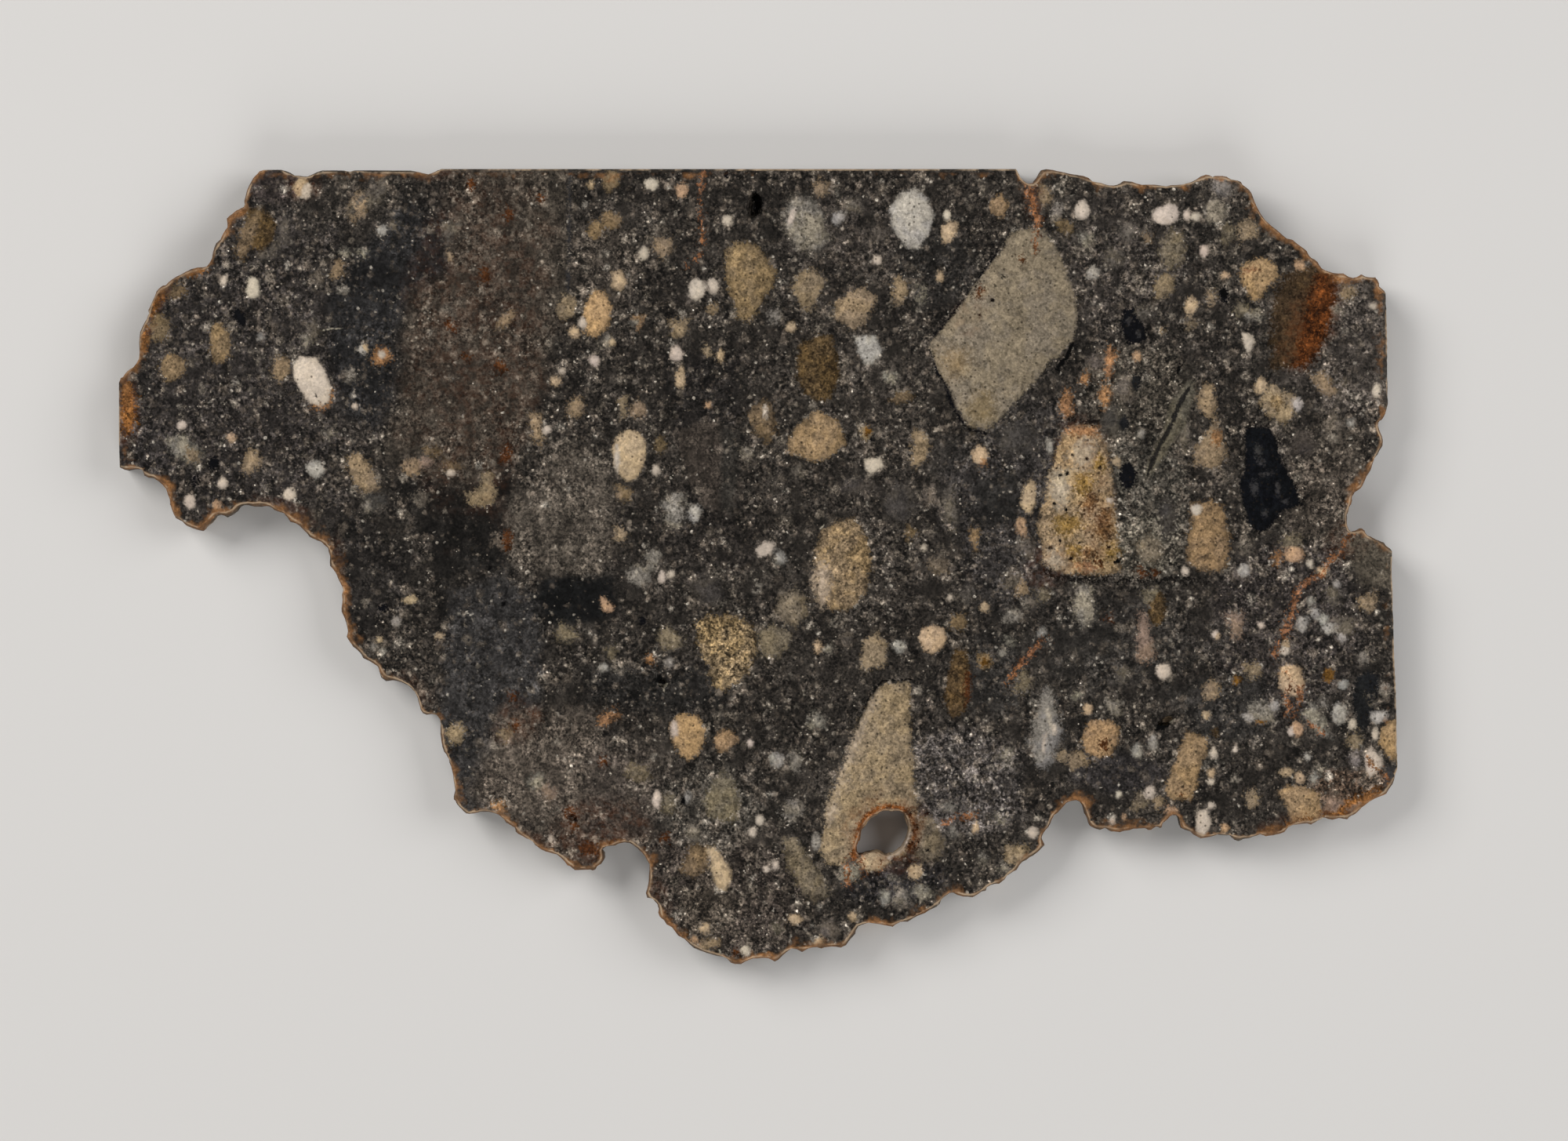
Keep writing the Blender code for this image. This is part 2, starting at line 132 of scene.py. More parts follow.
# Clasts that have a shape of their own: finish and corners
OUTLINED = (
    ("diamond", [
        (1184, 440), (1194, 427), (1233, 379), (1238, 366), (1258, 343), (1279, 317), (1289, 299),
        (1302, 293), (1330, 291), (1342, 307), (1355, 333), (1370, 373), (1373, 394), (1370, 430),
        (1353, 453), (1337, 463), (1319, 488), (1294, 514), (1273, 537), (1256, 548), (1235, 542),
        (1220, 519), (1212, 496), (1197, 476), (1189, 453)]),
    ("wedge", [
        (1127, 872), (1159, 870), (1162, 878), (1159, 910), (1162, 948), (1165, 977), (1168, 1018),
        (1170, 1050), (1166, 1078), (1150, 1094), (1120, 1094), (1092, 1089), (1077, 1103), (1057, 1103),
        (1045, 1086), (1051, 1051), (1054, 1027), (1066, 1001), (1080, 968), (1095, 922), (1110, 892)]),
    ("tower", [
        (1370, 541), (1394, 542), (1411, 566), (1417, 598), (1421, 644), (1428, 696), (1428, 729),
        (1400, 733), (1357, 731), (1343, 725), (1330, 714), (1328, 695), (1323, 672), (1330, 642),
        (1336, 615), (1344, 584), (1356, 553)]),
    ("egg", [
        (1090, 660), (1108, 692), (1111, 730), (1102, 759), (1084, 777), (1061, 778), (1046, 765),
        (1039, 736), (1040, 701), (1049, 677), (1067, 666)]),
    ("granular", [
        (892, 792), (905, 783), (930, 786), (948, 790), (962, 800), (965, 825), (958, 848), (944, 870),
        (925, 880), (908, 876), (906, 850), (896, 835), (888, 812)]),
    ("black", [
        (1587, 545), (1620, 545), (1630, 566), (1636, 592), (1651, 616), (1660, 645), (1636, 651),
        (1621, 671), (1607, 680), (1591, 668), (1586, 642), (1580, 616), (1589, 595)]),
    ("ochre", [
        (1668, 335), (1640, 352), (1628, 372), (1622, 400), (1622, 470), (1647, 470), (1665, 468),
        (1681, 450), (1693, 424), (1704, 394), (1704, 350), (1690, 338)]),
    ("tan", [
        (1043, 524), (1066, 534), (1076, 553), (1078, 568), (1062, 580), (1040, 590), (1022, 582),
        (1003, 578), (1007, 560), (1016, 545)]),
    ("honey", [
        (1519, 642), (1545, 638), (1560, 645), (1562, 668), (1569, 686), (1567, 718), (1554, 730),
        (1531, 727), (1515, 715), (1516, 686), (1520, 668)]),
    ("tan", [
        (1514, 933), (1540, 941), (1540, 955), (1531, 978), (1528, 1000), (1517, 1020), (1498, 1021),
        (1484, 1009), (1495, 981), (1506, 953)]),
    ("olive", [
        (998, 1068), (1016, 1071), (1030, 1092), (1048, 1118), (1060, 1136), (1039, 1150), (1024, 1139),
        (1007, 1106)]),
    ("honey", [
        (925, 319), (937, 310), (951, 309), (968, 316), (979, 330), (989, 347), (986, 365), (972, 382),
        (965, 400), (951, 412), (939, 403), (935, 382), (926, 358)]),
    ("frost", [
        (1000, 277), (1007, 258), (1021, 249), (1035, 253), (1047, 267), (1053, 284), (1056, 305),
        (1046, 319), (1025, 321), (1011, 309), (1002, 291)]),
    ("sand", [
        (1026, 342), (1042, 346), (1053, 358), (1046, 375), (1035, 396), (1026, 400), (1018, 382),
        (1010, 368), (1016, 353)]),
    ("sand", [
        (1105, 365), (1119, 382), (1109, 396), (1105, 410), (1089, 421), (1072, 410), (1063, 402),
        (1065, 386), (1084, 372)]),
    ("milk", [(1089, 428), (1116, 428), (1126, 446), (1119, 460), (1105, 467), (1095, 449)]),
    ("moss", [
        (1016, 460), (1021, 439), (1042, 428), (1060, 428), (1068, 453), (1070, 481), (1060, 509),
        (1042, 512), (1026, 502), (1017, 481)]),
    ("earth", [
        (972, 509), (984, 516), (986, 537), (989, 554), (979, 565), (965, 554), (954, 530), (961, 519)]),
    ("milk", [
        (1150, 245), (1167, 241), (1182, 252), (1191, 273), (1185, 299), (1170, 318), (1153, 313),
        (1138, 290), (1134, 267)]),
    ("white", [
        (374, 465), (383, 455), (402, 456), (413, 470), (422, 494), (420, 513), (409, 519), (395, 514),
        (383, 497), (375, 480)]),
    ("cream", [
        (785, 557), (800, 549), (814, 551), (823, 563), (825, 578), (820, 596), (812, 609), (802, 614),
        (792, 607), (784, 592), (781, 572)]),
    ("wheat", [(744, 392), (755, 372), (771, 371), (780, 391), (775, 417), (760, 430), (746, 424)]),
    ("ash", [(879, 745), (902, 726), (913, 742), (923, 764), (910, 772), (897, 769)]),
    ("olive", [
        (1494, 291), (1508, 299), (1512, 316), (1506, 335), (1496, 345), (1487, 339), (1479, 325),
        (1480, 308), (1488, 298)]),
    ("wheat", [
        (1584, 339), (1596, 331), (1614, 329), (1628, 340), (1627, 356), (1614, 371), (1604, 384),
        (1595, 379), (1585, 366), (1582, 352)]),
    ("glass", [
        (1433, 396), (1447, 391), (1454, 404), (1461, 417), (1462, 432), (1451, 437), (1441, 440),
        (1433, 427), (1429, 412)]),
    ("sand", [
        (1552, 532), (1558, 552), (1563, 575), (1558, 593), (1538, 598), (1522, 588), (1525, 570),
        (1540, 549)]),
    ("sand", [
        (1612, 496), (1624, 491), (1645, 501), (1660, 514), (1649, 532), (1635, 541), (1619, 529),
        (1609, 514)]),
    ("olive", [(996, 762), (1014, 752), (1029, 762), (1027, 783), (1014, 800), (1002, 795), (989, 777)]),
    ("olive", [(968, 806), (990, 798), (1008, 809), (1005, 827), (990, 839), (976, 836), (967, 821)]),
    ("sand", [(1102, 818), (1119, 806), (1131, 824), (1128, 850), (1111, 853), (1096, 853)]),
    ("cream", [
        (1172, 812), (1177, 801), (1190, 797), (1203, 802), (1207, 815), (1200, 828), (1186, 834),
        (1176, 827)]),
    ("lilac", [
        (1330, 878), (1341, 880), (1350, 913), (1354, 939), (1344, 966), (1332, 980), (1321, 974),
        (1315, 948), (1318, 924), (1327, 901)]),
    ("rose", [(1454, 780), (1466, 786), (1466, 809), (1476, 836), (1466, 846), (1450, 839), (1451, 809)]),
    ("tan", [
        (1380, 941), (1391, 920), (1413, 919), (1427, 927), (1427, 944), (1416, 964), (1402, 968),
        (1385, 961)]),
    ("tan", [
        (1629, 1009), (1641, 1002), (1663, 1003), (1683, 1011), (1688, 1040), (1671, 1052), (1646, 1051),
        (1643, 1034)]),
    ("coal", [
        (1730, 862), (1745, 855), (1758, 861), (1761, 877), (1754, 897), (1748, 925), (1738, 933),
        (1730, 924), (1725, 893)]),
    ("wheat", [(1761, 930), (1781, 916), (1790, 930), (1790, 969), (1772, 969), (1761, 947)]),
    ("wheat", [
        (856, 923), (865, 913), (880, 910), (893, 916), (899, 930), (897, 948), (889, 961), (878, 969),
        (866, 961), (857, 944)]),
    ("tan", [(911, 941), (922, 930), (936, 934), (943, 944), (933, 955), (922, 958), (911, 953)]),
    ("cream", [
        (904, 1084), (911, 1079), (919, 1090), (932, 1110), (933, 1121), (925, 1136), (916, 1135),
        (908, 1113)]),
    ("frost", [(212, 560), (235, 556), (254, 574), (253, 590), (239, 592), (225, 581)]),
    ("sand", [(319, 572), (335, 581), (333, 593), (316, 606), (309, 600), (312, 585)]),
    ("sand", [
        (442, 583), (456, 577), (472, 590), (481, 613), (484, 627), (467, 630), (453, 618), (444, 600)]),
    ("moss", [(312, 265), (335, 268), (352, 285), (349, 305), (335, 322), (322, 318), (314, 300)]),
    ("sand", [(617, 603), (630, 603), (632, 632), (623, 647), (600, 644), (594, 629), (614, 621)]),
    ("sand", [(678, 528), (690, 528), (695, 557), (690, 574), (678, 557)]),
    ("sand", [(443, 267), (455, 247), (472, 241), (478, 255), (463, 276), (449, 284)]),
)

# Smaller clasts with a shape of their own, over the large ones
CHIPS = (
    ("ember", [
        (1683, 338), (1704, 350), (1704, 394), (1693, 424), (1681, 450), (1665, 468), (1650, 468),
        (1655, 430), (1668, 384), (1678, 358)]),
    ("cream", [
        (1093, 1096), (1103, 1089), (1114, 1087), (1124, 1089), (1135, 1091), (1135, 1100), (1124, 1109),
        (1108, 1111), (1096, 1106)]),
    ("frost", [
        (1070, 1112), (1078, 1102), (1090, 1100), (1099, 1108), (1096, 1120), (1082, 1126), (1072, 1122)]),
    ("cream", [(1201, 289), (1212, 282), (1222, 284), (1220, 297), (1212, 310), (1202, 310)]),
    ("tan", [(1263, 256), (1277, 247), (1287, 261), (1279, 278), (1263, 271)]),
    ("peach", [(766, 762), (770, 761), (777, 768), (783, 774), (781, 780), (770, 780), (766, 774)]),
    ("olive", [(712, 799), (717, 793), (737, 807), (740, 813), (728, 820), (710, 816)]),
    ("honey", [(785, 618), (805, 624), (805, 638), (792, 638)]),
    ("cream", [(780, 348), (791, 345), (800, 360), (791, 371), (781, 366)]),
    ("tan", [(806, 403), (823, 403), (814, 421)]),
    ("sand", [(855, 409), (878, 409), (878, 426), (861, 429)]),
    ("sand", [(1488, 347), (1498, 353), (1494, 373), (1476, 380), (1470, 368), (1475, 354)]),
    ("lilac", [(1549, 228), (1563, 224), (1570, 236), (1567, 248), (1556, 251), (1549, 243)]),
    ("sand", [(1581, 285), (1594, 279), (1604, 289), (1603, 302), (1590, 308), (1581, 305)]),
    ("white", [(1584, 424), (1598, 427), (1600, 436), (1593, 453), (1586, 438)]),
    ("sand", [(1674, 478), (1686, 473), (1698, 486), (1706, 498), (1696, 506), (1681, 498)]),
    ("white", [(964, 701), (976, 690), (989, 693), (983, 707), (968, 711)]),
    ("white", [(1102, 586), (1122, 583), (1127, 595), (1111, 604), (1103, 598)]),
    ("sand", [(1166, 548), (1180, 550), (1184, 566), (1181, 586), (1169, 597), (1162, 589)]),
    ("stone", [(1204, 627), (1213, 624), (1221, 648), (1219, 677), (1212, 676), (1203, 654)]),
    ("cream", [(1302, 642), (1305, 622), (1314, 611), (1321, 619), (1321, 642), (1314, 656), (1306, 653)]),
    ("olive", [(1295, 883), (1304, 853), (1316, 865), (1307, 886)]),
    ("frost", [(1372, 745), (1393, 748), (1396, 789), (1381, 799), (1371, 789)]),
    ("rose", [(1564, 783), (1586, 783), (1583, 814), (1572, 814)]),
    ("sand", [(1586, 847), (1604, 844), (1611, 859), (1595, 868)]),
    ("cream", [(1633, 850), (1645, 846), (1658, 852), (1664, 872), (1660, 888), (1645, 888), (1632, 876)]),
    ("frost", [(1592, 900), (1604, 893), (1616, 899), (1627, 908), (1624, 919), (1607, 921), (1594, 914)]),
    ("frost", [(1660, 908), (1671, 899), (1683, 905), (1698, 940), (1683, 938), (1666, 922)]),
    ("frost", [(1410, 891), (1431, 897), (1428, 912), (1419, 910)]),
    ("white", [(1740, 964), (1749, 953), (1764, 969), (1761, 981), (1747, 992), (1742, 981)]),
    ("slate", [(1766, 978), (1783, 974), (1785, 990), (1770, 1005), (1764, 1000)]),
    ("sand", [(232, 570), (240, 570), (252, 578), (252, 589), (240, 590)]),
    ("scar", [
        (1524, 482), (1512, 489), (1498, 506), (1488, 530), (1484, 550), (1472, 572), (1462, 594),
        (1460, 612), (1476, 598), (1494, 566), (1512, 548), (1518, 522), (1524, 500)]),
    ("stone", [(558, 286), (586, 282), (582, 300), (571, 312)]),
)

# Rounded clasts: x, y, width, height and, where it leans, anticlockwise turn in degrees
CLASTS = {
    "white": [
        (323, 368, 18, 26), (889, 369, 20, 28), (910, 365, 13, 20), (1380, 268, 20, 24), (285, 358, 9, 15),
        (1487, 274, 34, 26, 6), (1514, 274, 9, 13), (1525, 276, 12, 11), (831, 235, 18, 16),
        (928, 281, 13, 13), (821, 323, 13, 18), (1119, 331, 12, 12), (837, 600, 11, 15),
        (1484, 856, 18, 22), (1548, 961, 11, 14), (1318, 1062, 14, 16), (950, 1212, 12, 12),
        (284, 616, 14, 13), (242, 640, 14, 18), (1756, 498, 12, 18), (697, 548, 12, 12), (1208, 274, 9, 12),
        (863, 451, 16, 20), (370, 630, 17, 16), (717, 472, 8, 8), (758, 460, 14, 14), (575, 602, 10, 12),
        (453, 518, 8, 8), (232, 542, 12, 12), (957, 948, 7, 9), (960, 1062, 10, 12), (970, 1046, 7, 10),
        (989, 1103, 8, 14), (978, 1108, 9, 9), (969, 1046, 10, 14), (1639, 830, 12, 12),
        (1467, 1010, 12, 16), (1427, 1013, 9, 9), (1545, 997, 9, 8), (1751, 390, 12, 8),
        (1536, 320, 12, 16), (844, 736, 10, 16), (856, 732, 10, 10), (703, 1070, 7, 9), (1419, 1047, 7, 10),
        (1512, 729, 10, 12), (1725, 923, 10, 12), (1754, 936, 9, 16), (1212, 762, 8, 9), (1416, 638, 9, 8),
        (1550, 809, 9, 10), (1609, 797, 8, 8), (1647, 933, 9, 10), (1671, 719, 8, 9), (1575, 956, 7, 8),
        (1178, 699, 8, 9), (1545, 1027, 10, 10), (838, 1019, 11, 22), (1534, 1050, 18, 35, -8),
    ],
    "milk": [
        (886, 654, 14, 24), (403, 598, 22, 23), (1394, 348, 16, 18), (463, 447, 10, 11), (488, 293, 14, 13),
        (1069, 278, 18, 14, 30), (1708, 910, 18, 28), (1655, 516, 14, 18), (1587, 727, 16, 16),
        (1688, 790, 14, 14), (1678, 782, 14, 12), (1695, 801, 16, 15), (1661, 796, 14, 21),
        (1759, 914, 23, 15, 10), (1712, 812, 11, 13), (1625, 900, 13, 12), (1593, 914, 14, 12),
        (1713, 873, 11, 11), (1667, 965, 9, 9),
    ],
    "frost": [
        (833, 713, 20, 20), (816, 733, 26, 28), (1551, 270, 30, 28), (1149, 1143, 20, 20),
        (684, 997, 17, 19), (1011, 1034, 24, 26), (774, 436, 16, 14), (1042, 919, 19, 20),
        (1014, 970, 15, 24), (954, 578, 12, 16), (812, 410, 10, 12), (884, 1062, 14, 20),
        (1731, 948, 10, 10), (1739, 838, 13, 15), (1687, 982, 11, 11), (1177, 1139, 24, 16),
        (421, 553, 12, 12), (440, 323, 10, 12), (463, 323, 14, 12), (470, 642, 16, 18), (1349, 268, 16, 20),
        (1383, 305, 18, 18), (1175, 379, 8, 24), (1136, 481, 18, 14), (391, 435, 12, 16),
        (1287, 818, 12, 12), (1283, 960, 14, 12), (1211, 1029, 14, 10), (1215, 1060, 12, 16),
        (1253, 1095, 12, 12), (1275, 1045, 12, 10), (1281, 1109, 12, 14), (1374, 887, 10, 11),
        (1767, 880, 10, 18), (1688, 896, 14, 10), (1056, 828, 10, 10), (988, 402, 16, 20),
        (1290, 786, 20, 18), (1594, 403, 18, 12), (1604, 402, 12, 12), (1700, 394, 20, 16),
        (860, 651, 26, 48),
    ],
    "ice": [
        (1672, 766, 10, 10), (1455, 553, 10, 10), (1339, 570, 8, 20), (1705, 745, 10, 9),
        (1129, 1144, 13, 17), (995, 712, 15, 16), (1723, 539, 10, 12), (829, 713, 10, 10),
        (770, 851, 12, 10), (333, 430, 8, 10), (1450, 958, 12, 18), (1471, 947, 11, 20),
        (1677, 992, 10, 14), (1329, 806, 12, 11), (877, 1016, 8, 14), (1041, 1073, 11, 20),
        (992, 969, 16, 18), (988, 968, 14, 14), (1279, 833, 8, 8), (505, 793, 12, 11), (488, 830, 8, 8),
        (476, 825, 7, 9), (854, 845, 12, 13), (1147, 824, 16, 16),
    ],
    "cream": [
        (1687, 729, 13, 12), (1640, 821, 9, 12), (1424, 588, 11, 9), (733, 424, 14, 14),
        (1250, 580, 20, 24, -20), (754, 235, 8, 12), (384, 238, 18, 26, -20), (919, 454, 8, 18),
        (868, 481, 12, 26), (1245, 1055, 10, 14), (1256, 774, 10, 12), (1167, 1112, 18, 20),
        (1014, 1172, 17, 11, -18), (1044, 1202, 12, 12), (1088, 1169, 10, 12), (898, 1184, 15, 12, 24),
        (1641, 985, 16, 11), (1658, 992, 12, 16), (1043, 825, 9, 17), (1387, 904, 13, 13),
        (779, 437, 10, 10), (709, 486, 14, 12), (1009, 417, 12, 12), (1519, 389, 17, 21),
        (1608, 492, 13, 21), (1199, 353, 10, 12), (295, 558, 12, 12), (465, 445, 10, 10), (560, 811, 10, 8),
        (484, 816, 8, 8), (1552, 811, 8, 9), (1545, 986, 8, 13), (574, 328, 5, 14), (1563, 351, 12, 10),
        (1539, 912, 11, 10), (523, 765, 18, 10, 8),
    ],
    "peach": [
        (904, 516, 9, 8), (870, 243, 15, 18), (1658, 338, 14, 15), (1655, 930, 14, 18),
        (1562, 1056, 10, 10), (1303, 671, 14, 24), (1451, 454, 10, 13), (1651, 707, 23, 22),
        (1495, 1034, 18, 11), (1434, 1041, 6, 10), (277, 644, 12, 13), (886, 1198, 9, 9),
    ],
    "sand": [
        (723, 391, 24, 30), (358, 470, 24, 28), (1147, 370, 20, 34), (646, 407, 30, 12, 40),
        (845, 314, 28, 24), (794, 630, 14, 14), (910, 394, 13, 14), (734, 520, 22, 24), (814, 523, 20, 20),
        (794, 519, 10, 26), (1540, 511, 22, 42), (1047, 240, 20, 20), (1477, 1024, 12, 16),
        (1598, 856, 18, 18), (581, 936, 25, 25), (646, 937, 18, 20), (902, 447, 10, 12),
        (904, 1204, 28, 13, 12), (1545, 881, 21, 25), (1297, 1089, 34, 24, 14), (1376, 969, 25, 22),
        (1357, 964, 14, 14), (1545, 381, 10, 20), (1464, 302, 10, 12), (1728, 944, 19, 21),
        (430, 344, 12, 24, -30), (526, 595, 24, 24), (1303, 751, 16, 20), (1105, 553, 14, 20),
        (791, 682, 16, 20), (1482, 421, 8, 9), (1719, 373, 22, 18), (1332, 250, 15, 26, 8),
        (1597, 1019, 16, 24), (1746, 768, 22, 24),
    ],
    "honey": [
        (779, 230, 20, 26), (761, 293, 20, 24), (780, 281, 26, 22), (220, 468, 30, 36), (1256, 843, 17, 20),
        (1697, 860, 10, 14), (1629, 512, 18, 20), (1243, 686, 13, 26), (281, 438, 28, 48),
    ],
    "apricot": [
        (1253, 586, 12, 13), (1360, 516, 16, 34), (1409, 505, 15, 30), (1415, 462, 11, 40, -3),
        (1380, 550, 40, 16), (1382, 483, 10, 12), (829, 840, 8, 10), (776, 915, 26, 11, 26),
        (636, 1028, 20, 15, -30), (1630, 712, 11, 17), (488, 454, 21, 23),
    ],
    "pale": [(1382, 580, 28, 44), (1352, 622, 26, 48), (1345, 712, 24, 20)],
    "mustard": [
        (1381, 618, 24, 30), (1401, 590, 18, 18), (1362, 670, 38, 28), (1371, 704, 22, 22),
        (1417, 706, 20, 18),
    ],
    "umber": [(1390, 642, 20, 26), (1408, 668, 24, 40), (1387, 705, 20, 18)],
    "buff": [(1252, 520, 33, 40), (1218, 462, 33, 40)],
    "coal": [(1414, 534, 9, 8), (1448, 488, 18, 20), (1427, 540, 26, 26)],
    "crust": [
        (1737, 1021, 70, 15, 22), (1705, 1038, 36, 16, 10), (1668, 1051, 50, 12), (163, 522, 22, 62),
        (196, 390, 16, 40, -30), (183, 430, 12, 34, -10), (252, 345, 22, 10, 20),
    ],
    "earth": [
        (226, 372, 26, 18), (203, 418, 28, 36), (1358, 289, 22, 18), (1152, 506, 24, 14),
        (575, 594, 20, 14), (842, 568, 14, 20), (1163, 680, 13, 17), (1222, 793, 21, 19),
        (888, 1097, 34, 40, -14), (316, 300, 20, 60, -20), (552, 576, 20, 10),
    ],
    "olive": [
        (854, 815, 32, 26), (1197, 721, 28, 22), (922, 1020, 46, 56), (1566, 298, 18, 22),
        (1519, 412, 16, 14), (1586, 396, 22, 16), (1466, 700, 30, 40), (1470, 760, 22, 24),
        (814, 985, 30, 22), (779, 833, 13, 17), (1649, 690, 24, 20), (852, 1026, 17, 25),
        (1303, 752, 10, 12), (1329, 757, 18, 20), (1455, 1023, 20, 21), (1182, 1070, 40, 60),
    ],
    "moss": [(1222, 872, 32, 84, -5), (1475, 774, 24, 42), (1551, 934, 10, 10), (200, 382, 14, 32)],
    "stone": [
        (1091, 262, 20, 18), (1436, 496, 24, 36), (1400, 462, 24, 20), (1460, 400, 18, 16),
        (880, 386, 12, 12), (1018, 600, 12, 14), (502, 288, 12, 10), (1186, 633, 15, 25),
        (640, 690, 20, 20), (1230, 760, 16, 18), (407, 354, 13, 24), (1290, 740, 20, 24),
        (1310, 700, 22, 20), (1432, 860, 18, 18), (1060, 1186, 28, 24), (1700, 760, 18, 20),
        (1716, 800, 24, 26), (1510, 560, 18, 28), (401, 420, 16, 22), (1120, 300, 16, 16),
        (1440, 296, 18, 18), (1081, 812, 12, 12), (1420, 330, 22, 22), (992, 1183, 14, 16),
        (1166, 720, 9, 9), (560, 823, 10, 10), (1700, 540, 13, 25, -20), (1605, 908, 22, 14),
        (480, 250, 40, 18, 46),
    ],
    "ash": [
        (1663, 565, 32, 36), (1300, 560, 50, 44), (1150, 640, 40, 50), (1420, 540, 30, 46),
        (1490, 660, 26, 50), (480, 640, 30, 24), (1100, 620, 50, 20),
    ],
    "rose": [(540, 590, 22, 14), (1727, 1028, 30, 16, 20), (1700, 1030, 24, 30), (700, 1010, 20, 18)],
    "lilac": [(1730, 966, 16, 20)],
    "glass": [
        (1438, 607, 21, 37), (274, 591, 13, 18), (249, 613, 9, 15), (488, 776, 13, 11),
        (1561, 376, 13, 23, 10), (306, 405, 14, 24, 30), (1490, 1052, 10, 8), (820, 792, 10, 10),
        (927, 222, 6, 12), (1110, 560, 5, 8), (305, 402, 14, 14),
    ],
}

# Small marks on top of the clasts and the matrix
MARKS = {
    "white": [
        # The mark at 964, 268 is a painted reflection in the dark pit at 965, 260
        (1526, 650, 13, 15), (743, 412, 9, 16), (787, 584, 6, 40), (860, 930, 9, 24), (964, 268, 4, 6),
        (391, 243, 12, 22, -20), (487, 452, 9, 9), (1010, 276, 8, 22, -20), (976, 526, 6, 20),
        (1338, 914, 5, 26, 12), (1332, 948, 5, 24, -6), (1345, 930, 4, 14),
    ],
    "stone": [(1747, 888, 6, 6), (1753, 898, 4, 4)],
    "slate": [
        (1604, 575, 6, 20), (1616, 604, 16, 7), (1600, 622, 7, 20), (1630, 625, 7, 18), (1614, 655, 8, 10),
        (1440, 410, 6, 9), (1452, 426, 4, 8), (1608, 590, 10, 6), (1640, 640, 8, 5),
    ],
    "rust": [
        (600, 235, 11, 12), (649, 274, 9, 14), (619, 351, 14, 20), (575, 416, 13, 12), (637, 467, 14, 11),
        (646, 579, 12, 20), (690, 252, 9, 9), (729, 1038, 16, 16), (768, 972, 8, 9), (849, 1070, 12, 10),
        (683, 912, 9, 8), (654, 888, 10, 9), (659, 925, 10, 14), (1234, 877, 9, 36), (1399, 721, 12, 10),
        (1457, 730, 9, 8), (1475, 730, 8, 7), (1407, 950, 13, 14), (596, 455, 8, 8), (646, 690, 12, 22),
        (939, 1215, 9, 9), (731, 1054, 9, 9), (1413, 789, 9, 9), (752, 1083, 24, 15, -20),
        (1303, 329, 8, 6), (1252, 372, 8, 14, -40),
    ],
    "ember": [(776, 1077, 20, 6, 12), (768, 1090, 6, 22), (1507, 1013, 8, 8)],
    # Painted shade: near-black spots where pits sink into the face
    "hollow": [
        (1484, 924, 24, 11, 28), (965, 260, 16, 32), (841, 866, 11, 12), (733, 1044, 8, 8),
        (596, 236, 5, 5), (1353, 606, 4, 5), (1360, 650, 4, 4), (1352, 690, 4, 5), (1366, 712, 5, 4),
        (1266, 383, 6, 5), (1250, 402, 5, 4), (1280, 353, 5, 4), (1270, 363, 4, 4), (1368, 580, 4, 4),
        (871, 1021, 5, 17), (1561, 374, 8, 14, 10), (625, 725, 5, 5), (642, 770, 5, 5), (403, 505, 3, 4),
        (775, 771, 3, 3), (640, 686, 4, 4), (1504, 470, 5, 14, -14), (1184, 1084, 8, 5, 20),
        (1361, 604, 5, 5), (1386, 585, 5, 4), (1403, 597, 5, 5), (1347, 597, 4, 4), (1345, 642, 5, 5),
        (1377, 692, 5, 4), (1340, 698, 5, 5), (1425, 716, 12, 6, 40), (1414, 698, 6, 5),
        (1183, 1037, 9, 5, 30),
    ],
    "amber": [
        (1695, 861, 14, 18), (1107, 549, 8, 12), (1256, 844, 8, 9), (1578, 868, 9, 7), (1608, 921, 10, 5),
    ],
    "pale": [(1049, 742, 14, 60)],
    "apricot": [(1596, 345, 20, 9, 10), (1551, 560, 12, 22), (1752, 976, 5, 22, 40), (1386, 723, 34, 9)],
}

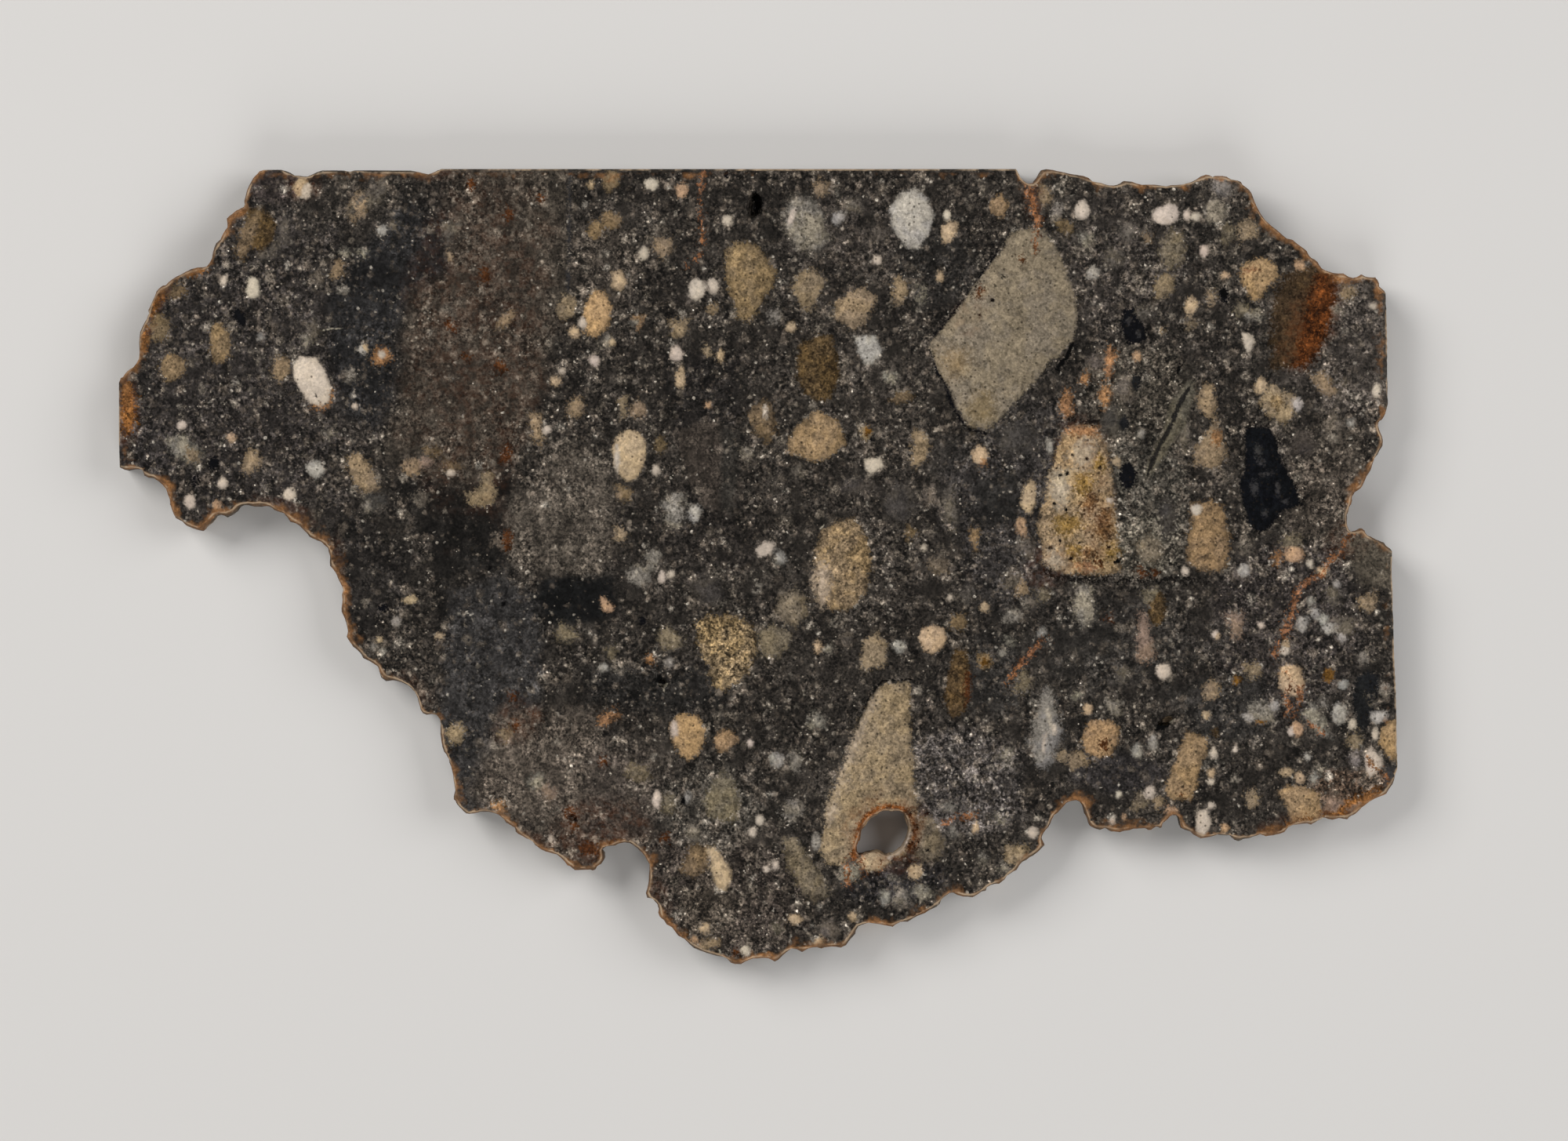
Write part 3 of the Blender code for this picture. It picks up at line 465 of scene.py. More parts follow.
# Cracks, veins and lint: finish, width in pixels, course
VEINS = (
    ("vein", 8, [(1312, 233), (1317, 250), (1320, 268), (1323, 280)]),
    ("vein", 4, [(1323, 280), (1322, 300), (1320, 320)]),
    ("vein", 1.6, [(898, 221), (890, 253), (895, 284), (896, 319), (877, 340)]),
    ("vein", 3.4, [(1727, 677), (1718, 686), (1712, 704), (1695, 715), (1686, 733), (1666, 742)]),
    ("vein", 2.6, [(1666, 742), (1654, 757), (1651, 777)]),
    ("vein", 7, [(1651, 777), (1645, 789), (1641, 802)]),
    ("vein", 2.6, [(1641, 802), (1636, 812), (1628, 824), (1624, 839)]),
    ("vein", 2.5, [(1645, 884), (1642, 898), (1644, 914)]),
    ("vein", 2.5, [(1657, 876), (1660, 892), (1652, 910)]),
    ("vein", 1.6, [(1640, 856), (1646, 868), (1644, 884)]),
    ("stone", 8, [(364, 284), (361, 303), (349, 320), (333, 328)]),
    ("apricot", 2.5, [(425, 497), (422, 513), (411, 521), (399, 518)]),
    ("pale", 7, [(1056, 1050), (1075, 990), (1098, 925), (1120, 885)]),
    ("vein", 2, [(1334, 815), (1310, 838), (1298, 852), (1284, 871)]),
    ("vein", 2, [(1669, 920), (1677, 927), (1687, 934)]),
    ("vein", 4, [(1081, 1094), (1079, 1110), (1083, 1128)]),
    ("vein", 3, [(1099, 1090), (1100, 1102), (1101, 1114)]),
    ("vein", 2, [(1125, 1095), (1124, 1108)]),
    ("ring", 8, [
        (1089, 1092), (1092, 1077), (1094, 1063), (1097, 1053), (1103, 1045), (1110, 1038), (1120, 1032),
        (1132, 1029), (1147, 1030), (1157, 1035)]),
    ("ember", 10, [(1157, 1036), (1164, 1047), (1168, 1058), (1166, 1070), (1161, 1080)]),
    ("cream", 2.4, [
        (1097, 1078), (1099, 1065), (1101, 1057), (1107, 1050), (1112, 1043), (1121, 1038), (1132, 1035),
        (1146, 1036), (1153, 1039), (1157, 1050), (1161, 1058)]),
    ("white", 5, [(1161, 1062), (1159, 1070), (1154, 1078), (1147, 1086), (1139, 1091), (1133, 1094)]),
    ("vein", 2, [(1203, 1051), (1218, 1043), (1244, 1040)]),
    ("vein", 2, [(1750, 978), (1760, 984), (1771, 994)]),
    ("seam", 3, [
        (1332, 728), (1344, 735), (1370, 737), (1400, 741), (1440, 737), (1466, 741), (1500, 738),
        (1540, 742)]),
    ("seam", 2, [(1362, 534), (1378, 538), (1395, 538)]),
    ("gouge", 2, [(1524, 483), (1515, 497)]),
    ("gouge", 6, [(1515, 497), (1503, 518), (1494, 542), (1480, 566), (1467, 596)]),
    ("gouge", 3, [(1467, 596), (1462, 610)]),
    # Painted shade: a near-black crack
    ("hollow", 6, [(1368, 440), (1360, 456), (1348, 470)]),
    ("glass", 2.5, [(1186, 446), (1194, 472), (1208, 498), (1216, 520), (1232, 546), (1256, 552)]),
    ("glass", 2.5, [(1186, 434), (1206, 412), (1232, 376), (1256, 344), (1276, 316)]),
    ("slate", 3, [(727, 222), (726, 300), (724, 372)]),
    ("stone", 2.5, [(1716, 483), (1710, 504), (1703, 524)]),
    ("stone", 7, [(447, 270), (462, 252), (478, 238), (491, 228)]),
    # Painted shade: a near-black crack along the wedge
    ("hollow", 2.2, [(1088, 958), (1096, 918), (1108, 890), (1126, 868), (1166, 866)]),
    ("thread", 1.6, [(838, 871), (845, 874), (852, 872), (846, 878), (848, 884)]),
    ("thread", 1.6, [(907, 1223), (914, 1221), (920, 1217), (916, 1208)]),
    ("thread", 1.4, [(1477, 930), (1486, 926), (1493, 922), (1499, 917)]),
    ("thread", 1.4, [(1046, 674), (1050, 671), (1052, 668)]),
    ("thread", 1.0, [(412, 421), (424, 419), (437, 419)]),
)

# Rounded areas of the matrix, painted in this order: x, y, width, height, turn, colour, share of
# bright grains, strength
AREAS = (
    (300, 470, 360, 420, 0, (48, 44, 42), 1.3, 0.8),
    (820, 1000, 90, 140, 0, (68, 62, 56), 0.9, 0.7),
    (900, 680, 120, 140, 0, (42, 38, 35), 0.9, 0.7),
    (1300, 640, 190, 260, 0, (51, 48, 47), 1.0, 0.7),
    (1455, 620, 110, 220, 0, (72, 68, 61), 1.3, 0.8),
    (1460, 695, 90, 80, 0, (86, 81, 71), 2.0, 0.8),
    (1430, 340, 170, 160, 0, (60, 55, 51), 1.3, 0.7),
    (1080, 300, 180, 100, 0, (56, 51, 47), 1.3, 0.7),
    (460, 730, 110, 170, 45, (38, 35, 33), 0.9, 0.8),
    (1715, 440, 130, 200, 0, (72, 66, 61), 1.0, 0.85),
    (1700, 620, 90, 150, 0, (76, 69, 61), 0.6, 0.8),
    (1640, 800, 200, 220, 0, (54, 49, 47), 2.0, 0.7),
    (1430, 820, 220, 120, 0, (50, 47, 44), 0.5, 0.7),
    (1560, 900, 120, 90, 0, (48, 46, 44), 0.5, 0.7),
    (1270, 860, 90, 110, 0, (47, 45, 43), 0.5, 0.7),
    (1200, 580, 70, 50, 0, (48, 45, 42), 0.5, 0.6),
    (640, 700, 150, 60, 0, (36, 35, 34), 0.3, 0.6),
    (1140, 1128, 120, 50, 10, (38, 36, 37), 1.0, 0.8),
    (910, 1140, 220, 170, 0, (60, 53, 48), 2.2, 0.8),
    (900, 1160, 80, 80, 0, (80, 72, 63), 1.6, 0.8),
    (905, 1030, 120, 110, 0, (82, 77, 70), 2.0, 0.7),
    (1190, 340, 90, 120, -35, (41, 39, 37), 0.9, 0.7),
    (1130, 510, 150, 150, 0, (60, 55, 50), 1.0, 0.7),
    (350, 235, 80, 50, 0, (56, 49, 47), 0.7, 0.8),
    (180, 580, 90, 70, 0, (52, 48, 47), 1.1, 0.7),
    (1430, 985, 110, 50, 0, (46, 43, 43), 0.4, 0.8),
    (1720, 1000, 110, 40, 8, (87, 70, 57), 1.8, 0.7),
    (768, 345, 90, 120, 0, (74, 67, 60), 1.3, 0.85),
)

# Areas of the matrix with an edge: softness in pixels, colour, share of bright grains, corners
ZONES = (
    (14, (63, 57, 50), 0.7, [
        (588, 205), (728, 205), (728, 300), (725, 372), (706, 430), (690, 500), (676, 545), (655, 590),
        (600, 622), (560, 612), (520, 600), (478, 578), (505, 530), (520, 450), (516, 380), (545, 330),
        (590, 300), (575, 260)]),
    (12, (36, 35, 35), 0.5, [
        (520, 255), (571, 284), (571, 345), (520, 375), (505, 430), (503, 500), (480, 552), (443, 530),
        (420, 460), (420, 377), (455, 325), (500, 270)]),
    (12, (25, 23, 21), 0.3, [
        (500, 602), (560, 628), (650, 612), (690, 640), (700, 700), (640, 722), (592, 700), (575, 760),
        (562, 830), (548, 700), (520, 640)]),
    (10, (53, 51, 50), 0.45, [
        (575, 753), (640, 735), (690, 762), (690, 900), (645, 930), (622, 1000), (640, 1030), (560, 1040),
        (540, 1000), (560, 904)]),
    (12, (82, 75, 67), 0.7, [
        (700, 560), (781, 581), (781, 700), (760, 732), (700, 740), (652, 720), (648, 640), (690, 600)]),
    (8, (18, 18, 18), 0.2, [(690, 733), (781, 733), (790, 770), (770, 796), (700, 796), (680, 765)]),
    (14, (36, 34, 32), 0.8, [
        (749, 855), (888, 850), (935, 875), (925, 906), (870, 908), (800, 900), (749, 896)]),
    (16, (82, 74, 66), 0.8, [
        (640, 905), (760, 910), (770, 960), (760, 1040), (720, 1090), (650, 1060), (600, 1010)]),
    (14, (70, 63, 57), 0.6, [(750, 960), (826, 960), (832, 1040), (812, 1075), (745, 1070)]),
    (14, (36, 33, 31), 0.9, [(850, 455), (942, 450), (950, 500), (940, 560), (870, 555), (845, 500)]),
    (5, (64, 57, 51), 0.7, [
        (861, 551), (901, 534), (942, 551), (944, 621), (925, 656), (896, 644), (878, 609)]),
    (16, (62, 57, 50), 2.2, [
        (1390, 470), (1420, 440), (1500, 450), (1530, 500), (1500, 560), (1420, 560), (1390, 520)]),
    (12, (42, 40, 38), 0.3, [(1240, 609), (1298, 605), (1300, 667), (1250, 672)]),
    (16, (78, 73, 70), 2.6, [
        (1166, 945), (1220, 930), (1297, 960), (1300, 1040), (1250, 1062), (1180, 1055)]),
    (7, (82, 75, 65), 0.25, [(1716, 690), (1732, 678), (1760, 684), (1779, 705), (1781, 752), (1735, 745)]),
    (12, (70, 63, 56), 1.3, [(1655, 590), (1720, 575), (1735, 640), (1720, 680), (1660, 690), (1640, 660)]),
    (14, (62, 57, 52), 2.2, [
        (1100, 660), (1140, 665), (1145, 780), (1100, 800), (1070, 785), (1106, 750), (1115, 720)]),
    (5, (48, 45, 41), 0.4, [(920, 545), (944, 545), (944, 600), (932, 654), (918, 654)]),
)

# Rusty ground: x, y, width, height, turn, strength
STAINS = (
    (610, 430, 180, 420, -4, 0.26), (760, 1060, 120, 90, 20, 0.42), (660, 920, 60, 60, 0, 0.35),
    (1128, 1060, 110, 100, 0, 0.75), (1670, 410, 60, 120, -22, 0.6), (1690, 1046, 150, 40, 8, 0.55),
    (160, 520, 34, 100, 0, 0.6), (190, 395, 30, 80, -30, 0.55), (388, 236, 40, 34, 0, 0.5),
    (1316, 246, 26, 60, 0, 0.5), (1330, 730, 60, 40, 0, 0.3), (1380, 570, 70, 70, 0, 0.35),
    (775, 1092, 26, 40, 0, 0.7), (690, 1078, 60, 30, -20, 0.4), (840, 1150, 30, 60, 0, 0.35),
    (1720, 690, 60, 50, 30, 0.3), (560, 222, 60, 18, 0, 0.35), (1240, 400, 40, 60, -40, 0.3),
    (1402, 650, 40, 110, 0, 0.55), (1345, 716, 60, 40, 0, 0.4), (1113, 1062, 80, 80, 0, 0.6),
    (360, 650, 90, 30, -20, 0.35), (430, 730, 20, 120, 0, 0.3), (520, 880, 60, 40, -30, 0.35),
)

# Sawn stretches of the rim: lowest x, lowest y, highest x, highest y
SAWN = ((340, 205, 530, 222), (560, 205, 1298, 221), (145, 484, 158, 598),
        (1763, 372, 1790, 522), (1770, 700, 1792, 984))

# The hole has a rusty ring of its own instead of the rind
HOLE = (1080, 1022, 1174, 1100)

# Buried clasts, which show on the wall and the back
BURIED = 420
BURIED_SIZES = (8, 30)
BURIED_SEED = 2
BURIED_FINISHES = ("white", "frost", "cream", "sand", "sand", "stone", "stone", "ash", "olive", "earth")

# Rounded clasts at least this wide lie in the layer of large bodies, in pixels
LEAST_BODY = 34
# Shares of a rounded clast's width that its edge swings in and out: times round it, share
SWELLS = ((2, 0.05), (3, 0.05), (5, 0.03))
# How far past a clast's edge its distance is kept, in pixels
REACH = 16.0
# Painted shade, lit from the upper left: a clast darker at its right and lower edge than in its middle
PAINTED_SIDE_SHADE = np.array((0.13, 0.07))
# Slight differences in brightness and in each channel between clasts of one finish
TINT_BRIGHTNESS = 0.055
TINT_CHANNEL = 0.012

# The matrix outside the areas, and its uneven brightness: stops, length in pixels, seed
GROUND = (46, 42, 38)
GROUND_LUMPS = ((0.35, 80, 301), (0.45, 26, 302))
# How unevenly the areas and the zones end: share, length in pixels
AREA_EDGE = (0.22, 70)
ZONE_EDGE = (0.4, 24)

# The wall's lumps: height in pixels, length in pixels, seed
WALL_LUMPS = ((0.5, 26, 11), (0.4, 11, 12), (0.3, 7, 13))
# The saw's scallops: height and spacing in pixels, and the x right of which they show
SCALLOP_HEIGHT = 0.35
SCALLOP_STEP = 10
SCALLOPS_FROM = 1700

# Narrower rim loops belong to pits, which have no rind, in pixels
LEAST_LOOP = 45
# Wall points farther in than this belong to pits too
WALL_REACH = 6.0
# How much of its depth a place on the wall counts as distance from the rim
WALL_FALL = 0.6

# Seeds of the random draws. Each clast, area or stain of a list counts on from its list's seed.
OUTLINED_SEED = 700
CHIPS_SEED = 800
BODIES_SEED = 1000
CLASTS_SEED = 2000
MARKS_SEED = 3000
BURIED_SHAPE_SEED = 5000
ZONES_SEED = 350
STAINS_SEED = 400
FRONT_SEED = 21
BACK_SEED = 22


def linear(colour):
    """A colour as seen, 0 to 255, as the shader's linear values."""
    c = np.asarray(colour, float) / 255
    return np.where(c <= 0.04045, c / 12.92, ((c + 0.055) / 1.055) ** 2.4)


def in_pixels(points):
    """Points in metres as pixels of the photograph and depth below the polished face."""
    low, high = CAD_BOX
    across = LEFT + (points[:, 0] - low.x) / PIXEL
    down = TOP + (high.y - points[:, 1]) / PIXEL
    return np.column_stack((across, down, (high.z - points[:, 2]) / PIXEL))


def in_metres(across, down):
    """A place on the photograph, in metres."""
    low, high = CAD_BOX
    return low.x + (across - LEFT) * PIXEL, high.y - (down - TOP) * PIXEL


def waves(points, length, seed):
    """Smooth noise of about -1 to 1, in lumps of the given length."""
    rng = np.random.default_rng(seed)
    directions = rng.normal(size=(10, points.shape[1]))
    directions /= np.linalg.norm(directions, axis=1)[:, None]
    rates = 2 * pi / length * rng.uniform(0.6, 1.6, 10)
    phases = rng.uniform(0, 2 * pi, 10)
    return np.sin(points @ directions.T * rates + phases).mean(axis=1) * 2


def lumps(points, sizes):
    """The sum of several smooth noises: height, length, seed."""
    return sum(height * waves(points, length, seed) for height, length, seed in sizes)


def eased(share):
    """A share of 0 to 1 that starts and ends gently."""
    share = np.clip(share, 0, 1)
    return share**2 * (3 - 2 * share)


def turned(points, x, y, turn):
    """Points about a centre, turned so that a leaning shape stands straight."""
    right, up = points[:, 0] - x, y - points[:, 1]
    c, s = cos(radians(turn)), sin(radians(turn))
    return right * c + up * s, up * c - right * s


def oval_distance(points, oval, seed):
    """Signed distance from a rounded clast's wavy edge, negative inside."""
    x, y, width, height, turn = oval
    u, v = turned(points, x, y, turn)
    angle = np.arctan2(v / height, u / width)
    phases = np.random.default_rng(seed).uniform(0, 2 * pi, len(SWELLS))
    swell = 1 + sum(share * np.cos(times * angle + phase) for (times, share), phase in zip(SWELLS, phases))
    a, b = width / 2, height / 2
    size = np.hypot(u / a, v / b) / swell
    slope = np.hypot(u / a**2, v / b**2) / np.maximum(size, 1e-6)
    return (size - 1) / np.maximum(slope, 1 / max(a, b))


def line_distance(points, course):
    """Distance from a line of straight stretches."""
    flat = points[:, :2]
    nearest = np.full(len(flat), np.inf)
    for (ax, ay), (bx, by) in zip(course, course[1:]):
        edge = np.array((bx - ax, by - ay), float)
        away = flat - (ax, ay)
        along = np.clip(away @ edge / (edge @ edge), 0, 1)
        nearest = np.minimum(nearest, np.hypot(*(away - along[:, None] * edge).T))
    return nearest


def inside_loop(points, loop):
    """Which points lie inside a closed loop."""
    inside = np.zeros(len(points), bool)
    for (ax, ay), (bx, by) in zip(loop, np.roll(loop, -1, axis=0)):
        if ay != by:
            crosses = (ay > points[:, 1]) != (by > points[:, 1])
            inside ^= crosses & (points[:, 0] < ax + (points[:, 1] - ay) * (bx - ax) / (by - ay))
    return inside


def polygon_distance(points, corners):
    """Signed distance from a polygon's edge, negative inside."""
    nearest = line_distance(points, corners + corners[:1])
    return np.where(inside_loop(points, corners), -nearest, nearest)


class Layer:
    """One layer of clasts: for each point the nearest one's distance, colour and edge."""

    def __init__(self, points):
        self.points = points
        self.distance = np.full(len(points), REACH)
        self.colour = np.zeros((len(points), 4))
        self.edge = np.ones((len(points), 2))

    def paint(self, finish, middle, half, depth, measure, tint=1.0):
        """Adds a clast that is an oval in depth too. depth is its middle's depth and reach."""
        points = self.points
        sink = (points[:, 2] - depth[0]) / depth[1]
        near = np.abs(points[:, 0] - middle[0]) < half[0] + REACH
        near &= np.abs(points[:, 1] - middle[1]) < half[1] + REACH
        near &= np.abs(sink) < 1
        here = np.flatnonzero(near)
        if not len(here):
            return
        share = np.sqrt(1 - sink[here] ** 2)
        scaled = points[here].copy()
        scaled[:, :2] = middle + (scaled[:, :2] - middle) / share[:, None]
        distance = measure(scaled) * share
        closer = distance < self.distance[here]
        here = here[closer]
        colour, soft, rough, grain = finish
        across = (points[here, :2] - middle) / np.maximum(half, 1)
        # Painted shade: each clast darker towards its right and lower edge, lighter towards its upper left
        painted_side_shading = 1 - np.clip(across, -1.2, 1.2) @ PAINTED_SIDE_SHADE
        self.distance[here] = distance[closer]
        self.colour[here, :3] = linear(colour) * tint * painted_side_shading[:, None]
        self.colour[here, 3] = grain
        self.edge[here] = soft, rough


def tint_of(seed):
    """A slight change of colour, so that no two clasts are quite the same."""
    rng = np.random.default_rng(seed)
    return (1 + TINT_BRIGHTNESS * rng.normal()) * (1 + TINT_CHANNEL * rng.normal(size=3))


def paint_oval(layer, finish, oval, depth, seed, tint=1.0):
    """Adds one rounded clast to a layer."""
    x, y, width, height, _ = oval
    half = max(width, height) / 2
    layer.paint(finish, np.array((x, y)), (half, half), depth,
                lambda points: oval_distance(points, oval, seed), tint)


def paint_ovals(layer, groups, seed):
    """Adds lists of rounded clasts to a layer."""
    for name, ovals in groups.items():
        for oval in ovals:
            seed += 1
            oval = oval if len(oval) == 5 else (*oval, 0)
            reach = 0.9 * (oval[2] * oval[3]) ** 0.5
            paint_oval(layer, FINISHES[name], oval, (0.0, reach), seed, tint_of(seed))


def paint_clasts(bodies, clasts):
    """Adds the rounded clasts: the wide ones to one layer, the others to the next."""
    wide, narrow = {}, {}
    for name, ovals in CLASTS.items():
        wide[name] = [oval for oval in ovals if min(oval[2:4]) >= LEAST_BODY]
        narrow[name] = [oval for oval in ovals if min(oval[2:4]) < LEAST_BODY]
    paint_ovals(bodies, wide, BODIES_SEED)
    paint_ovals(clasts, narrow, CLASTS_SEED)


def middle_and_half(places):
    """The middle of a list of places, and half of its width and height."""
    places = np.array(places, float)
    return (places.min(0) + places.max(0)) / 2, np.ptp(places, axis=0) / 2


def paint_outlined(layer, clasts, first_seed):
    """Adds the clasts that have a shape of their own."""
    for seed, (name, corners) in enumerate(clasts, first_seed):
        middle, half = middle_and_half(corners)
        layer.paint(FINISHES[name], middle, half, (0.0, 1.4 * half.min() + 20),
                    lambda points, corners=corners: polygon_distance(points, corners), tint_of(seed))


def paint_veins(layer):
    """Adds the veins, which go right through the slice."""
    for name, width, course in VEINS:
        middle, half = middle_and_half(course)
        layer.paint(FINISHES[name], middle, half + width, (0.0, 4 * DEPTH),
                    lambda points, course=course, width=width: line_distance(points, course) - width / 2)


def paint_buried(layer):
    """Adds clasts that lie below the polished face."""
    rng = np.random.default_rng(BURIED_SEED)
    for number in range(BURIED):
        size = rng.uniform(*BURIED_SIZES) ** 1.12
        x, y = rng.uniform(LEFT, RIGHT), rng.uniform(TOP, BOTTOM)
        oval = (x, y, size * rng.uniform(0.8, 1.6), size, rng.uniform(0, 180))
        reach = 0.7 * size
        middle = rng.uniform(reach + 4, DEPTH + 0.3 * reach)
        finish = FINISHES[BURIED_FINISHES[rng.integers(len(BURIED_FINISHES))]]
        paint_oval(layer, finish, oval, (middle, reach), BURIED_SHAPE_SEED + number)


def soft_oval(points, x, y, width, height, turn, seed):
    """1 in the middle of an area, falling smoothly and unevenly to 0 outside it."""
    u, v = turned(points, x, y, turn)
    uneven, length = AREA_EDGE
    size = np.hypot(u / (width / 2), v / (height / 2)) + uneven * waves(points, length, seed)
    return eased((1.25 - size) / 0.5)


def ground_of(points):
    """The matrix's colour and its share of bright grains at each point."""
    ground = np.tile((*linear(GROUND), 1.0), (len(points), 1))
    for seed, (x, y, width, height, turn, colour, grains, strength) in enumerate(AREAS):
        share = strength * soft_oval(points, x, y, width, height, turn, seed)
        ground += share[:, None] * ((*linear(colour), grains) - ground)
    uneven, length = ZONE_EDGE
    for seed, (soft, colour, grains, corners) in enumerate(ZONES, ZONES_SEED):
        distance = polygon_distance(points, corners) + uneven * soft * waves(points, length, seed)
        share = eased(0.5 - distance / (2 * soft))
        ground += share[:, None] * ((*linear(colour), grains) - ground)
    ground[:, :3] *= np.exp2(lumps(points, GROUND_LUMPS))[:, None]
    return ground


def in_boxes(points, boxes):
    """1 inside any of the boxes, else 0."""
    inside = np.zeros(len(points), bool)
    for x0, y0, x1, y1 in boxes:
        across = (points[:, 0] > x0) & (points[:, 0] < x1)
        inside |= across & (points[:, 1] > y0) & (points[:, 1] < y1)
    return inside.astype(float)


def stains_of(points, rim, walls):
    """Rust, distance to the outline, share of wall and share of rim without rind at each point."""
    rust = np.zeros(len(points))
    for seed, (x, y, width, height, turn, strength) in enumerate(STAINS, STAINS_SEED):
        rust = np.maximum(rust, strength * soft_oval(points, x, y, width, height, turn, seed))
    return np.column_stack((rust, rim, walls, in_boxes(points, (*SAWN, HOLE))))


def halve_long_edges(bm, limit):
    """Halves every edge above the limit, the longest first and one edge of a triangle at a time."""
    while True:
        lengths = [(edge.calc_length(), edge) for edge in bm.edges]
        lengths = sorted((pair for pair in lengths if pair[0] > limit), key=lambda pair: -pair[0])
        if not lengths:
            return
        bm.faces.index_update()
        used, chosen = set(), []
        for _, edge in lengths:
            faces = {face.index for face in edge.link_faces}
            if used.isdisjoint(faces):
                used |= faces
                chosen.append(edge)
        bmesh.ops.subdivide_edges(bm, edges=chosen, cuts=1, use_single_edge=True)


def at_level(thing, level):
    """Whether all points of a face or an edge lie at a level."""
    return all(abs(v.co.z - level) < SAME_LEVEL for v in thing.verts)


def wall_of(source):
    """The wall and the pits of the CAD solid, finely divided, without its flat faces."""
    bm = bmesh.new()
    bm.from_mesh(source.data)
    bmesh.ops.remove_doubles(bm, verts=bm.verts, dist=SAME_PLACE)
    for level in (CAD_BOX[0].z, CAD_BOX[1].z):
        flat = [face for face in bm.faces if at_level(face, level)]
        bmesh.ops.delete(bm, geom=flat, context="FACES")
    halve_long_edges(bm, LONGEST_EDGE * WALL_STEP * PIXEL)
    bmesh.ops.delete(bm, geom=[v for v in bm.verts if not v.link_faces], context="VERTS")
    bm.verts.index_update()
    return bm


def crumble(bm):
    """Roughens the wall and gives its points. Those on the rim of a flat face stay at its level."""
    bm.normal_update()
    points = np.array([v.co for v in bm.verts])
    normals = np.array([v.normal for v in bm.verts])
    places = in_pixels(points)
    scallops = SCALLOP_HEIGHT * np.sin(places[:, 1] * 2 * pi / SCALLOP_STEP)
    scallops *= places[:, 0] > SCALLOPS_FROM
    height = np.where(in_boxes(places, SAWN) > 0, scallops, lumps(places, WALL_LUMPS))
    moved = points + normals * (height * PIXEL)[:, None]
    rim = np.array([any(e.is_boundary for e in v.link_edges) for v in bm.verts])
    moved[rim, 2] = points[rim, 2]
    moved[:, 2] = np.clip(moved[:, 2], CAD_BOX[0].z, CAD_BOX[1].z)
    for vert, place in zip(bm.verts, moved):
        vert.co = place
    return moved


def rim_loops(bm, level):
    """The closed loops of points where the wall meets a flat face."""
    step = {}
    for edge in bm.edges:
        if edge.is_boundary and at_level(edge, level):
            loop = edge.link_loops[0]
            step[loop.link_loop_next.vert.index] = loop.vert.index
    loops = []
    while step:
        start, at = step.popitem()
        loop = [start]
        while at != start:
            loop.append(at)
            at = step.pop(at)
        loops.append(loop)
    return loops


def honeycomb(step, seed):
    """Slightly uneven points in a honeycomb over the whole slice, in pixels."""
    rng = np.random.default_rng(seed)
    rows = np.arange(TOP, BOTTOM, step * 3**0.5 / 2)
    across = np.arange(LEFT, RIGHT, step)
    grid = np.array([(x + (row % 2) * step / 2, y) for row, y in enumerate(rows) for x in across])
    return grid + rng.uniform(-UNEVEN * step, UNEVEN * step, grid.shape)


def clast_points():
    """Points round the small clasts, which the honeycomb alone would blur."""
    places = []
    for group in (*CLASTS.values(), *MARKS.values()):
        for x, y, width, height, *_ in group:
            if min(width, height) < SMALL_CLAST:
                places.append((x, y))
                for i in range(POINTS_ROUND):
                    angle = 2 * pi * i / POINTS_ROUND
                    places.append((x + cos(angle) * width / 2, y + sin(angle) * height / 2))
    for _, corners in (*OUTLINED, *CHIPS):
        places += corners
    for _, width, course in VEINS:
        for (ax, ay), (bx, by) in zip(course, course[1:]):
            count = max(2, round(((bx - ax) ** 2 + (by - ay) ** 2) ** 0.5 / VEIN_STEP))
            for i in range(count):
                places.append((ax + (bx - ax) * i / count, ay + (by - ay) * i / count))
    return np.array(places)


def distance_to(places, rim):
    """The distance from each place to the nearest point of the rim, seen from above."""
    tree = kdtree.KDTree(len(rim))
    for number, (x, y) in enumerate(rim[:, :2]):
        tree.insert((x, y, 0), number)
    tree.balance()
    return np.array([tree.find((x, y, 0))[2] for x, y in places[:, :2]])


def cap(bm, level, grid, step, up):
    """Triangles across a flat face, from its rim loops and the points scattered inside it."""
    loops = rim_loops(bm, level)
    coords = np.array([v.co for v in bm.verts])
    loops.sort(key=lambda loop: -np.ptp(coords[loop][:, 0]))
    outer, *holes = [coords[loop][:, :2] for loop in loops]
    rim = [i for loop in loops for i in loop]
    places = np.column_stack(in_metres(grid[:, 0], grid[:, 1]))
    keep = inside_loop(places, outer)
    for hole in holes:
        keep &= ~inside_loop(places, hole)
    places = places[keep]
    places = places[distance_to(places, coords[rim]) > CLEARANCE * step * PIXEL]
    corners = [Vector(place) for place in (*coords[rim][:, :2], *places)]
    edges, first = [], 0
    for loop in loops:
        count = len(loop)
        edges += [(first + i, first + (i + 1) % count) for i in range(count)]
        first += count
    made, _, faces, origins, _, _ = geometry.delaunay_2d_cdt(corners, edges, [], FILL_INSIDE, SAME_CORNER)
    made = np.array(made)
    faces = np.array(faces)
    middles = made[faces].mean(axis=1)
    for hole in holes:
        hollow = inside_loop(middles, hole)
        faces, middles = faces[~hollow], middles[~hollow]
    a, b, c = (made[faces[:, k]] for k in range(3))
    turn = (b[:, 0] - a[:, 0]) * (c[:, 1] - a[:, 1]) - (b[:, 1] - a[:, 1]) * (c[:, 0] - a[:, 0])
    wrong = (turn > 0) != up
    faces[wrong] = faces[wrong][:, ::-1]
    index = np.full(len(made), -1)
    for number, origin in enumerate(origins):
        known = [i for i in origin if i < len(rim)]
        if known:
            index[number] = rim[known[0]]
    fresh = np.flatnonzero((index < 0) & np.isin(np.arange(len(made)), faces))
    index[fresh] = len(coords) + np.arange(len(fresh))
    added = np.column_stack((made[fresh], np.full(len(fresh), level)))
    return added, index[faces]


